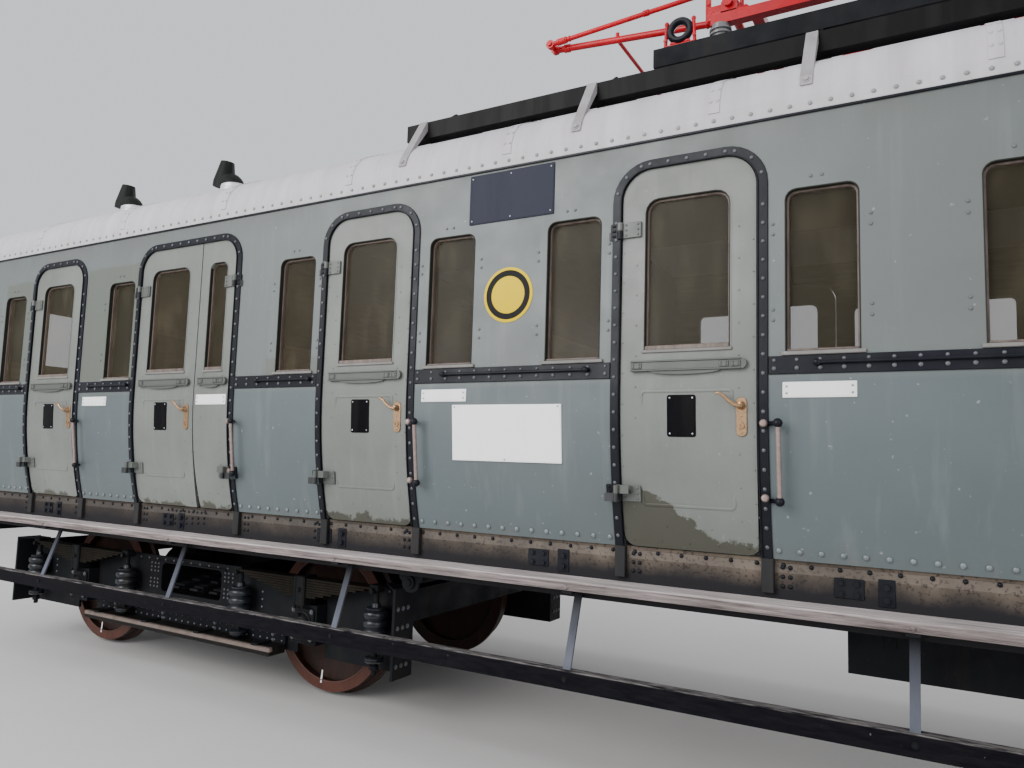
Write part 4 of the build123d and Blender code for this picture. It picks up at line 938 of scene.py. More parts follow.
def latch_ledge(left, right):
    """The ledge under the window with its latch plates and bowed lower edge."""
    y, low, high = -WALL_Y, 2.095, 2.147
    parts = [slab((left, y - 0.020, low + 0.006), (right, y + 0.002, high - 0.006), 0.003)]
    for foot, head in ((high - 0.008, high), (low, low + 0.008)):
        parts.append(slab((left - 0.002, y - 0.026, foot), (right + 0.002, y + 0.002, head)))
    profile = [(0.0, 0.0), (0.0, 0.026), (0.018, 0.026), (0.021, 0.022), (0.021, 0.0)]
    parts.append(turned(profile, (right, y - 0.021, (low + high) / 2), steps=20))
    reach = (right - left) * 0.32
    bow = turned([(0.0, 0.0), (0.0, reach), (0.018, reach), (0.018, 0.0)],
                 ((left + right) / 2, y - 0.018, low), steps=32)
    bow.data.transform(about((0, 0, low), Matrix.Diagonal((1, 1, 0.018 / reach, 1))))
    parts.append(bow)
    for x0, x1 in ((left + 0.004, left + 0.055), (right - 0.10, right - 0.055), (right - 0.045, right)):
        parts.append(slab((x0, y - 0.026, low + 0.012), (x1, y - 0.018, high - 0.012)))
        for z in (low + 0.020, high - 0.020):
            parts += [rivet((x, y - 0.026, z), 0.0045) for x in (x0 + 0.012, x1 - 0.010)]
    return joined(parts)


def pressed_panel(left, right):
    """The shallow pressed outline of the lower leaf."""
    ring = pane_ring((left + right) / 2, 1.443, 2.007, (right - left) / 2, 0.025, 0.016, -WALL_Y - 0.0035,
                     -WALL_Y + 0.001)
    edit(ring)
    choose(ring, "EDGE", lambda middle, way: middle.y < -WALL_Y - 0.003)
    bpy.ops.mesh.bevel(offset=0.003, segments=2, affect="EDGES")
    bpy.ops.object.mode_set(mode="OBJECT")
    return ring


def leaf_screws(left, right):
    """Small screw heads in upright rows and along the foot of the leaf."""
    y = -WALL_Y
    rows = [rivet((x, y, start), 0.0045, int((2.98 - start) / 0.152), (0, 0, 0.152), sides=6)
            for x, start in ((left + 0.010, 1.33), (right - 0.012, 1.33), (left + 0.078, 1.87),
                             (right - 0.078, 1.40))]
    for z, shift in ((1.275, 0.05), (1.35, 0.22)):
        span = right - left - 2 * shift
        count = max(2, int(span / 0.10))
        rows.append(rivet((left + shift, y, z), 0.0045, count, (span / (count - 1), 0, 0), sides=6))
    return joined(rows)


def lever_handle(x):
    """Oval brass plate with a key hole and a curved lever."""
    y, z = -WALL_Y, 1.875
    parts = [plate(x, 0.025, (y - 0.007, y + 0.001), (z - 0.09, z + 0.09), 0.002, 0.0235),
             turned([(0.0, 0.0), (0.0, 0.021), (-0.010, 0.019), (-0.022, 0.012), (-0.030, 0.011),
                     (-0.032, 0.0)],
                    (x, y - 0.006, z + 0.052), steps=20),
             turned([(0.002, 0.0), (0.002, 0.016), (-0.003, 0.014), (-0.003, 0.007), (0.001, 0.006),
                     (0.001, 0.0)],
                    (x, y - 0.008, z - 0.042), steps=16)]
    parts += [rivet((x, y - 0.007, z + shift), 0.004, sides=6) for shift in (0.004, -0.073)]
    points = [Vector((x + along, y - out, z + rise)) for along, out, rise in (
        (0.004, 0.032, 0.048), (-0.022, 0.036, 0.053), (-0.048, 0.040, 0.070), (-0.070, 0.042, 0.094),
        (-0.092, 0.044, 0.108), (-0.104, 0.044, 0.106))]
    for index, (start, end) in enumerate(zip(points, points[1:])):
        parts.append(bar(start, end, 0.0105 - 0.001 * index, 10, 0.0))
        parts.append(ball(end, 0.0100 - 0.001 * index))
    return coated(parts, "aged_brass")


def blank_plate(middle_x, low, high, width, corner, thickness, name, screws):
    """A bare enamel plate: a rim, a raised field and screws in its corners."""
    y, half = -WALL_Y - thickness, width / 2
    parts = [coated(plate(middle_x, half, (y, -WALL_Y + 0.001), (low, high), 0.0015, corner), name),
             coated(plate(middle_x, half - 0.006, (y - 0.0012, y + 0.0012), (low + 0.006, high - 0.006),
                          0.0005, max(0.001, corner - 0.004)), name)]
    for x, z in screws:
        parts.append(coated(rivet((middle_x + x, y - 0.001, z), 0.0055), "dull_steel"))
    return joined(parts)


def word_plate(middle_x):
    """A small white plate with two screws at each end."""
    return blank_plate(middle_x, 1.960, 2.030, 0.305, 0.004, 0.004, "white_enamel",
                       [(x, z) for x in (-0.135, 0.135) for z in (1.980, 2.010)])


def door_dress(left, right, way):
    """Furniture of one leaf: sash, pane, ledge, pressed panel, screws, hinge plates, plate and lever."""
    wide = right - left > 0.5
    middle = (left + right) / 2
    glazed = leaf_glass(middle, 0.21 if wide else 0.09, 2.20, 2.96, 0.07 if wide else 0.05)
    if wide:
        painted = [latch_ledge(left + 0.06, right - 0.065), pressed_panel(left + 0.10, right - 0.10)]
    else:
        painted = [latch_ledge(left + 0.05, right - 0.045)]
    parts = [coated([*painted, leaf_screws(left, right)], "grey_green_door_paint"), *glazed]
    axis = left - DOOR_GAP if way > 0 else right + DOOR_GAP
    for low, share, high in HINGE_ROWS:
        parts.append(hinge_plate(axis, way, low, high, share + 0.0005, high, "worn_hinge_paint"))
    if wide:
        parts.append(lever_handle(right - 0.066))
        parts.append(blank_plate(middle - 0.02, 1.78, 1.98, 0.14, 0.012, 0.004, "black_enamel",
                                 [(x, z) for x in (-0.055, 0.055) for z in (1.795, 1.965)]))
    else:
        parts.append(word_plate(middle))
    inner = slab((left + 0.02, -WALL_Y + 0.0455, 1.27), (right - 0.02, -WALL_Y + 0.052, 2.14), 0.002, 0.01)
    parts.append(coated(inner, "varnished_cabin_wood"))
    return hug_side(joined(parts))


def roof_station(angle):
    """A point of the near half of the roof section and its outward way, by the angle above the eave."""
    way = Vector((0, -math.cos(angle), math.sin(angle)))
    if angle < ROOF_BORDER:
        return Vector((0, -EAVE_Y, EAVE_CENTRE)) + EAVE_RADIUS * way, way
    return Vector((0, 0, ROOF_CENTRE)) + ROOF_RADIUS * way, way


# Operators
class RAILCAR_OT_solid_finishes(Operator):
    """Gives the solid parts their paint, wood, glass and metal"""

    bl_idname = "railcar.solid_finishes"
    bl_label = "Solid finishes"

    def execute(self, context):
        finishes = {
            "wall_panels": "grey_green_wall_paint", "cantrails": "grey_green_wall_paint",
            "end_walls": "grey_green_wall_paint", "roof": "pale_roof_paint",
            "floor": "floor_linoleum_dusty_edge",
            "partitions": "varnished_cabin_wood", "benches": "varnished_bench_wood",
            "solebars": "dusty_sole_bar_paint", "footboards": "weathered_plank_wood",
            "step_beams": "scuffed_step_paint", "step_struts": "worn_strut_paint",
            "ventilators": "black_hood_silver_seat", "roof_channels": "black_channel_pale_brackets",
            "roof_bearers": "black_running_gear_paint", "insulators": "grey_insulator_glaze",
            "window_panes": "old_window_glass", "door_": "grey_green_door_paint",
            "wheelset": "sooty_wheel_rusty_tyre", "collector": "red_collector_paint",
        }
        for name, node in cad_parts.items():
            starts = [start for start in finishes if name.startswith(start)]
            coated(node, finishes[max(starts, key=len)] if starts else "black_running_gear_paint")
        return {"FINISHED"}


class RAILCAR_OT_doorway_strips(Operator):
    """Models the black riveted strips round the doorways of both sides"""

    bl_idname = "railcar.doorway_strips"
    bl_label = "Doorway strips"

    def execute(self, context):
        middle, half = doorway("5")
        parts = spread(self.edging(middle, half), [doorway(name)[0] - middle for name in SINGLE_DOORS])
        strips = hug_side(joined([*parts, self.edging(*doorway("2"))]))
        seated(both_sides(strips), "doorway_strips", "car_body")
        return {"FINISHED"}

    def edging(self, middle, half):
        """Flat strip, its raised inner lip and its rivets."""
        width = bpy.context.scene.railcar_sizes.strip_width
        strips = [doorway_strip(middle, half, wide, -0.002, front)
                  for wide, front in ((width, 0.009), (0.007, 0.017))]
        return joined([coated(strips, "black_trim_paint"),
                       coated(doorway_rivets(middle, half), "bright_worn_bolt_heads")])


class RAILCAR_OT_belt(Operator):
    """Models the black belt band with its rivets, the long rods before it and the hem rivets of the panels"""

    bl_idname = "railcar.belt"
    bl_label = "Belt and hem"

    def execute(self, context):
        sizes = context.scene.railcar_sizes
        face, low, rod_y, rod_z = -WALL_Y - 0.009, 2.065, -WALL_Y - 0.024, 2.113
        bands, hems, heads = [], [], []
        for left, right in belt_spans():
            bands.append(slab((left, face, low), (right, -WALL_Y + 0.004, low + sizes.belt_height), 0.0025))
            room = right - left - 0.05
            count = max(2, round(room / 0.094) + 1)
            for height, radius in ((0.026, 0.0105), (0.063, 0.0085)):
                heads.append(rivet((left + 0.025, face, low + height), radius, count,
                                   (room / (count - 1), 0, 0)))
            count = max(2, round(room / sizes.rivet_pitch) + 1)
            hems.append(rivet((left + 0.025, -WALL_Y, 1.277), 0.013, count, (room / (count - 1), 0, 0),
                              (0, -1, 0.08)))
        knob = [(-0.016, 0.0), (-0.015, 0.009), (-0.006, 0.015), (0.006, 0.015), (0.015, 0.009), (0.016, 0.0)]
        for left, right in rod_spans():
            bands.append(bar((left, rod_y, rod_z), (right, rod_y, rod_z), 0.007, 10))
            for x in (left, right):
                bands.append(turned(knob, (x, rod_y, rod_z), "X", 10))
                bands.append(plate(x, 0.009, (-WALL_Y - 0.02, -WALL_Y), (rod_z - 0.011, rod_z + 0.011)))
        band = both_sides([coated(bands, "black_trim_paint"), coated(heads, "bright_worn_bolt_heads")])
        seated(band, "belt_band", "car_body")
        hem = coated(hug_side(joined(hems)), "pale_rubbed_rivet_heads")
        seated(both_sides(hem), "panel_hem_rivets", "car_body")
        return {"FINISHED"}


class RAILCAR_OT_windows(Operator):
    """Models the sashes, panes and sills of the side and end windows, with the rivet pairs round them"""

    bl_idname = "railcar.windows"
    bl_label = "Windows"

    def execute(self, context):
        x, y, half, low, high = 0.0, -WALL_Y, WINDOW_HALF, WINDOW_LOW, WINDOW_HIGH
        middle_z = (low + high) / 2
        reveal = pane_ring(x, low, high, half, 0.05, 0.005, y - 0.0015, y + 0.026, middle_z)
        sash = pane_ring(x, low, high, half, 0.05, 0.014, y + 0.026, y + 0.062, middle_z)
        pane = slab((0.012 - half, y + 0.040, low + 0.012), (half - 0.012, y + 0.045, high - 0.012), 0.0,
                    0.040, above=middle_z)
        sill = slab((-0.172, y - 0.014, low - 0.016), (0.176, y + 0.03, low + 0.002), 0.003)
        lip = plate(x, 0.150, (y + 0.004, y + 0.03), (low + 0.002, low + 0.014), 0.003)
        dots = [rivet((x, y, z + shift), 0.008) for x in (-0.207, 0.200) for z in (2.733, 2.336)
                for shift in (-0.024, 0.024)]
        dots += [rivet((x, y, 2.96), 0.008) for x in (-0.043, 0.004)]
        middles = window_middles()
        sashes, panes, sills, dots, reveals = (
            spread(piece, middles) for piece in (joined([sash, lip]), pane, sill, joined(dots), reveal))
        ends, end_panes = self.end_windows()
        seated(coated([both_sides(sashes), *ends], "dull_sash_wood"), "window_sashes", "car_body")
        glass = coated([both_sides(panes), *end_panes], "old_window_glass")
        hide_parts("window_panes")
        seated(glass, "window_glass", "car_body")
        sills = [coated(sills, "pale_sill_paint"), coated(reveals, "dirty_reveal_paint")]
        seated(both_sides(sills), "window_sills", "car_body")
        seated(both_sides(coated(dots, "grey_green_wall_paint")), "window_rivets", "car_body")
        return {"FINISHED"}

    def end_windows(self):
        """Sashes and panes of the two windows in each end wall."""
        low, high, plane = WINDOW_LOW, WINDOW_HIGH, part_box("floor")[1].x - 0.03
        rings, panes = [], []
        for y in (-0.7, 0.7):
            for side in (-1, 1):
                ring = pane_ring(0.0, low, high, 0.26, 0.012, 0.02, -0.02, 0.02)
                quarter_turn = Matrix.Rotation(math.pi / 2, 4, "Z")
                ring.data.transform(Matrix.Translation((side * plane, y, 0)) @ quarter_turn)
                rings.append(ring)
                panes.append(plate(side * (plane - 0.002), 0.003, (y - 0.255, y + 0.255),
                                   (low + 0.005, high - 0.005), 0.001))
        return rings, panes


class RAILCAR_OT_door_furniture(Operator):
    """Models the window, ledge, pressed panel, hinges, lever and blank class plate of every door leaf"""

    bl_idname = "railcar.door_furniture"
    bl_label = "Door furniture"

    def execute(self, context):
        left, right = leaf_span("5")
        single = door_dress(left, right, 1)
        for name in ALL_DOORS:
            self.hang(name, copied(single, (leaf_span(name)[0] - left, 0, 0)))
        bpy.data.objects.remove(single)
        self.hang("2_narrow", door_dress(*leaf_span("2_narrow"), -1))
        axes = [(leaf_span(name)[0] - DOOR_GAP, -1) for name in ALL_DOORS]
        axes.append((leaf_span("2_narrow")[1] + DOOR_GAP, 1))
        covers = [hinge_plate(axis, way, low, high, low, share - 0.0005, "black_trim_paint",
                              0.054 if low > CURVE_TOP else 0.072)
                  for axis, way in axes for low, share, high in HINGE_ROWS]
        seated(both_sides(hug_side(joined(covers))), "hinge_covers", "car_body")
        return {"FINISHED"}

    def hang(self, name, near):
        """Seats the furniture of a near leaf and its twin on the far leaf."""
        for side, piece in (("near", near), ("far", mirrored(near, NEAR))):
            seated(piece, f"door_{name}_{side}_furniture", f"door_{name}_{side}")


class RAILCAR_OT_grab_rails(Operator):
    """Models the grab rail and its two knobs beside each door"""

    bl_idname = "railcar.grab_rails"
    bl_label = "Grab rails"

    def execute(self, context):
        y, foot, head, lean = -WALL_Y - 0.058, 1.50, 1.845, 0.045
        rail = bar((0, y + lean, foot), (0, y, head), 0.011)
        knob = turned([(0.0, 0.0), (0.0, 0.016), (-0.018, 0.018), (-0.026, 0.013), (-0.028, 0.0)],
                      (-0.068, -WALL_Y - 0.010, head), steps=16)
        low_knob = copied(knob, (0, lean - 0.006, foot - head + 0.012))
        dark = []
        for z, drop in ((head, 0.0), (foot, lean)):
            dark.append(ball((0, y + drop, z), 0.021, 16))
            dark.append(bar((0, y + drop, z), (-0.052, -WALL_Y + drop + 0.012, z), 0.011, 10))
        rail_set = joined([coated([rail, knob, low_knob], "dull_pink_rail_metal"),
                           coated(dark, "black_trim_paint")])
        rails = spread(rail_set, [middle + half + 0.104 for middle, half in map(doorway, ALL_DOORS)])
        seated(both_sides(rails), "grab_rails", "car_body")
        return {"FINISHED"}


class RAILCAR_OT_signs(Operator):
    """Models the bare number plate, round disc, notice board and small enamel plates"""

    bl_idname = "railcar.signs"
    bl_label = "Blank signs"

    def execute(self, context):
        middle = (doorway("3")[0] + doorway("4")[0]) / 2
        board = blank_plate(middle, 2.9575, 3.2425, 0.535, 0.006, 0.005, "blue_black_enamel",
                            [(x, z) for x in (-0.248, 0.0, 0.248) for z in (2.978, 3.222)])
        disc = turned([(0.0, 0.0), (0.0, 0.1525), (-0.003, 0.1525), (-0.004, 0.149), (-0.004, 0.0)],
                      (middle, -WALL_Y, 2.54), steps=64)
        ring = turned([(-0.003, 0.136), (-0.0052, 0.136), (-0.0052, 0.104), (-0.003, 0.104)],
                      (middle, -WALL_Y, 2.54), steps=64)
        notice = blank_plate(middle, 1.635, 1.941, 0.675, 0.003, 0.009, "white_notice_board",
                             [(-0.32, 1.93), (0.32, 1.93), (0.0, 1.647)])
        boards = [hug_side(board), coated(disc, "yellow_enamel"), coated(ring, "black_enamel"),
                  hug_side(notice)]
        boards += [word_plate(x) for x in (-1.1085, -3.0935, -6.377)]
        seated(both_sides(boards), "blank_plates", "car_body")
        return {"FINISHED"}


class RAILCAR_OT_roof_trim(Operator):
    """Models the drip strip, eave rivets, lap bands with their rivets and the feet of the roof brackets"""

    bl_idname = "railcar.roof_trim"
    bl_label = "Roof trim"

    def execute(self, context):
        reach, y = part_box("roof")[1].x, -WALL_Y
        strip = plate(0.0, reach, (y - 0.010, y), (3.254, 3.266))
        hem = plate(0.0, reach, (y - 0.003, y + 0.001), (3.268, 3.336), 0.0015)
        room = 2 * reach - 0.1
        count = int(room / context.scene.railcar_sizes.rivet_pitch)
        row = rivet((-reach + 0.05, y - 0.003, 3.300), 0.0105, count, (room / (count - 1), 0, 0),
                    (0, -1, 0.1))
        laps = spread(self.lap(), [(index - 6) * BRACKET_PITCH - 0.42 for index in range(14)])
        parts = [coated(strip, "black_trim_paint"), coated([hem, *laps], "pale_roof_paint"),
                 coated(row, "grey_eave_rivet_heads"), self.bracket_feet(), self.collars()]
        seated(both_sides(parts), "roof_trim", "car_body")
        return {"FINISHED"}

    def lap(self):
        """The band over one seam of the roof with its two rows of rivets."""
        rings = []
        for angle in range(0, 91, 3):
            point, way = roof_station(math.radians(angle))
            rings.append([point + way * lift + Vector((x, 0, 0))
                          for x, lift in ((-0.030, -0.002), (0.030, -0.002), (0.027, 0.005),
                                          (-0.027, 0.005))])
        parts = [skinned(rings)]
        angle = math.radians(14)
        while angle < math.pi / 2:
            point, way = roof_station(angle)
            parts += [rivet(point + way * 0.005 + Vector((x, 0, 0)), 0.0085, outward=way, sides=6)
                      for x in (-0.016, 0.016)]
            angle += 0.075 / (EAVE_RADIUS if angle < ROOF_BORDER else ROOF_RADIUS)
        return joined(parts)

    def collars(self):
        """Pale collars round the feet of the ventilator pipes."""
        outline = [(3.862, 0.0), (3.862, 0.124), (3.884, 0.126), (3.892, 0.119), (3.900, 0.121),
                   (3.924, 0.118), (3.934, 0.100), (3.934, 0.0)]
        rings = [turned(outline, (x, -0.6, 0.0), "Z", 32) for x in (-7.364, -5.966, 5.966, 7.364)]
        return coated(rings, "silver_collar_paint")

    def bracket_feet(self):
        """The turned-out foot of each bracket with its bolt."""
        foot = joined([plate(0.0, 0.0275, (-0.024, 0.026), (0.0, 0.009), 0.002, 0.006, "Z"),
                       bolt((0, 0.004, 0.009), 0.013, UPWARD)])
        foot.data.transform(standing(*roof_station(math.asin((3.4331 - EAVE_CENTRE) / EAVE_RADIUS) - 0.085)))
        return coated(spread(foot, [(index - 3) * BRACKET_PITCH for index in range(7)]), "pale_bracket_paint")


class RAILCAR_OT_running_board(Operator):
    """Dresses the sole bars with posts, bolt plates and bolt rows, and the steps with bolts and edge irons"""

    bl_idname = "railcar.running_board"
    bl_label = "Sole bars and steps"

    def execute(self, context):
        low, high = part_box("solebars")
        face, reach = low.y, high.x - 0.1
        post = plate(0.0, 0.027, (-WALL_Y + 0.100, -WALL_Y + 0.16), (1.085, 1.245), 0.003)
        pair = joined([rivet((shift, face, z), 0.0105) for shift in (0.062, 0.095)
                       for z in (1.118, 1.160, 1.202)])
        places, shifts, bolts = [], [], []
        for name in ALL_DOORS:
            middle, half = doorway(name)
            for side in (-1, 1):
                places.append(middle + side * (half + 0.028))
                shifts.append(places[-1] if name in "2468" else places[-1] - 0.157)
            if name in "268":
                bolts.append(rivet((middle - 0.20, face, 1.205), 0.009, 10, (0.045, 0, 0)))
                bolts += [rivet((middle - 0.12, face, z), 0.011, 6, (0.062, 0, 0.004))
                          for z in (1.150, 1.115)]
        posts = spread(post, places)
        bolts += spread(pair, shifts)
        lining = plate(0.0, reach, (face - 0.004, face + 0.002), (1.222, 1.239), 0.0015)
        bolts.append(rivet((-reach, face, 1.212), 0.0105, int(2 * reach / 0.118), (0.118, 0, 0)))
        pads = [plate(0.0, 0.06, (face - 0.007, face + 0.002), (1.095, 1.180), 0.002, 0.005)]
        pads += [bolt((shift, face - 0.007, z), 0.0125) for shift in (-0.032, 0.032) for z in (1.113, 1.160)]
        pads.append(slab((0.115, face - 0.006, 1.075), (0.180, face + 0.002, 1.190)))
        pads += [bolt((0.1475, face - 0.006, z), 0.016) for z in (1.105, 1.158)]
        pads = spread(joined(pads), [-7.4 + STRUT_PITCH * index + 0.31 for index in range(10)])
        board_y, beam_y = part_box("footboards")[0].y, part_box("step_beams")[0].y
        fixings, boards = [], []
        for index in range(10):
            x = (index - 4.5) * STRUT_PITCH
            boards.append(bolt((x, board_y, 1.030), 0.008))
            fixings.append(plate(x, 0.028, (board_y + 0.006, board_y + 0.17), (0.996, 1.0135), 0.003))
            fixings.append(bolt((x, beam_y, 0.586), 0.010))
        parts = [coated(posts, "dark_post_paint"), coated(lining, "dusty_sole_bar_paint"),
                 coated([*pads, *bolts], "black_trim_paint"), coated(fixings, "black_running_gear_paint"),
                 coated(boards, "weathered_plank_wood")]
        seated(both_sides(parts), "sole_bar_fittings", "car_body")
        return {"FINISHED"}


class RAILCAR_OT_bogie_springs(Operator):
    """Models the leaf springs, buckles, ringed coil springs, rods and cups of both bogies"""

    bl_idname = "railcar.bogie_springs"
    bl_label = "Bogie springs"

    def execute(self, context):
        spring = self.spring()
        for number, pivot in ((1, -BOGIE_PIVOT), (2, BOGIE_PIVOT)):
            left = copied(spring, (-AXLE_REACH, 0, 0))
            axle_pair = joined([left, mirrored(left, ALONG)])
            axle_pair.data.transform(Matrix.Translation((pivot, 0, 0)))
            gear = both_sides(axle_pair)
            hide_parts(f"bogie_{number}_springs")
            seated(gear, f"bogie_{number}_spring_gear", f"bogie_{number}")
        bpy.data.objects.remove(spring)
        return {"FINISHED"}

    def spring(self):
        """One near spring over x = 0, its inner rod on the positive side."""
        y, half = -SPRING_PLANE, 0.045
        leaves = []
        for index in range(8):
            high = 0.812 - 0.016 * index
            leaves.append(plate(0.0, SPRING_REACH - 0.069 * index, (y - half, y + half),
                                (high - 0.0150, high), 0.0022))
        iron = [plate(0.0, 0.050, (y - half - 0.014, y + half + 0.014), (0.632, 0.8255), 0.004)]
        iron += [bar((x, y - half - 0.010, 0.610), (x, y - half - 0.010, 0.8255), 0.009, 10)
                 for x in (-0.034, 0.034)]
        iron.append(bolt((0, y - half - 0.014, 0.735), 0.014))
        outline = [(0.505, 0.0), (0.505, 0.058)]
        for index in range(3):
            outline += [(0.508 + 0.0545 * index + rise, radius) for rise, radius in (
                (0.0, 0.066), (0.008, 0.076), (0.018, 0.080), (0.034, 0.080), (0.044, 0.076), (0.052, 0.066))]
        outline += [(0.672, 0.060), (0.676, 0.064), (0.684, 0.064), (0.688, 0.058), (0.688, 0.030),
                    (0.712, 0.026), (0.712, 0.0)]
        cup = [(0.345, 0.0), (0.345, 0.046), (0.348, 0.054), (0.354, 0.060), (0.360, 0.060), (0.363, 0.056),
               (0.366, 0.060), (0.374, 0.060), (0.380, 0.054), (0.380, 0.0)]
        coils = []
        for x, bottom in ((-SPRING_REACH, 0.270), (SPRING_REACH, 0.332)):
            coils += [turned(outline, (x, y, 0.0), "Z", 24), turned(cup, (x, y, 0.0), "Z", 20)]
            nut = max(bottom, 0.300)
            iron += [bar((x, y, bottom), (x, y, 0.812), 0.017),
                     bar((x, y, nut), (x, y, nut + 0.028), 0.032, 6, 0.002),
                     plate(x, 0.035, (y - 0.035, y + 0.035), (0.790, 0.828), 0.004),
                     bar((x, y - 0.060, 0.790), (x, y + 0.060, 0.790), 0.016)]
        return joined([coated(leaves, "dusty_spring_steel"), coated(iron, "black_running_gear_paint"),
                       coated(coils, "blue_black_coil_paint")])


class RAILCAR_OT_bogie_dress(Operator):
    """Models the rivets, guard planks, axle box covers, bolts and rail flanges of both bogies"""

    bl_idname = "railcar.bogie_dress"
    bl_label = "Bogie rivets and planks"

    def execute(self, context):
        for number, near in enumerate(spread(self.side(), (-BOGIE_PIVOT, BOGIE_PIVOT)), 1):
            seated(both_sides(near), f"bogie_{number}_dress", f"bogie_{number}")
        return {"FINISHED"}

    def side(self):
        """The near side of a bogie over x = 0."""
        face, rail = -0.988, -1.008
        heads = [rivet((-2.03, face, 0.776), 0.0095, 41, (0.1015, 0, 0))]
        heads += [rivet((-1.02, rail, z), 0.0095, 30, (0.0703, 0, 0)) for z in (0.340, 0.385)]
        parts = [plate(0.0, 1.05, (rail - 0.030, rail), (0.400, 0.4095)),
                 plate(0.0, 0.395, (face - 0.010, face), (0.752, 0.766))]
        for way in (-1, 1):
            heads += [rivet((way * x, face, low), 0.009, 3, (0, 0, 0.030)) for x in (0.385, 0.425, 0.470)
                      for low in (0.560, 0.680)]
            heads += [rivet((way * x, face, 0.44), 0.009, 5, (0, 0, 0.052)) for x in (0.785, 1.765)]
            heads += [repeated(bolt((way * 2.110, y, 0.36), 0.010, (way, 0, 0)), 4, (0, 0, 0.115))
                      for y in (-1.03, -1.08, -1.13)]
            heads.append(repeated(bolt((way * 2.064, face - 0.012, 0.335), 0.010), 7, (0, 0, 0.072)))
            parts.append(plate(way * 2.064, 0.028, (face - 0.012, face), (0.30, 0.80)))
            x = way * AXLE_REACH
            parts.append(plate(x, 0.100, (-1.088, -1.070), (0.392, 0.608), 0.005, 0.03))
            boss = [(0.0, 0.0), (0.0, 0.088), (-0.008, 0.088), (-0.012, 0.080), (-0.030, 0.074),
                    (-0.044, 0.058), (-0.050, 0.034), (-0.050, 0.0)]
            parts.append(turned(boss, (x, -1.086, AXLE_HEIGHT), steps=28))
            heads += [bolt((x + turn_x, -1.088, AXLE_HEIGHT + turn_z), 0.011) for turn_x in (-0.082, 0.082)
                      for turn_z in (-0.090, 0.090)]
            parts += [plate(x, 0.014, (-1.139, -1.084), (0.424 + 0.035 * index, 0.436 + 0.035 * index))
                      for index in range(5)]
        heads += [bolt((x + 0.030, rail, z), 0.010) for x in (-0.9, -0.3, 0.3, 0.9) for z in (0.335, 0.375)]
        plank = plate(0.0, 1.054, (-1.154, rail + 0.002), (0.267, 0.3225), 0.006)
        return joined([coated(parts, "black_running_gear_paint"), coated(heads, "bright_worn_bolt_heads"),
                       coated(plank, "sooty_guard_plank")])


class RAILCAR_OT_wheel_dress(Operator):
    """Models the tyre rings and witness marks of the wheels"""

    bl_idname = "railcar.wheel_dress"
    bl_label = "Wheel fittings"

    def execute(self, context):
        face = -0.815
        ring = turned([(0.001, 0.428), (-0.003, 0.428), (-0.0045, 0.433), (-0.003, 0.438), (0.001, 0.438)],
                      (0, face, AXLE_HEIGHT), steps=48)
        mark = plate(0.0, 0.006, (face - 0.0035, face + 0.001), (0.045, 0.135), 0.001)
        mark.data.transform(about((0, 0, AXLE_HEIGHT), Matrix.Rotation(0.12, 4, "Y")))
        wheel = both_sides([coated(ring, "rusty_tyre_brown"), coated(mark, "white_enamel")])
        places = [pivot + reach for pivot in (-BOGIE_PIVOT, BOGIE_PIVOT)
                  for reach in (-AXLE_REACH, AXLE_REACH)]
        for name, piece in zip(("1a", "1b", "2a", "2b"), spread(wheel, places)):
            seated(piece, f"wheelset_{name}_dress", f"wheelset_{name}")
        return {"FINISHED"}


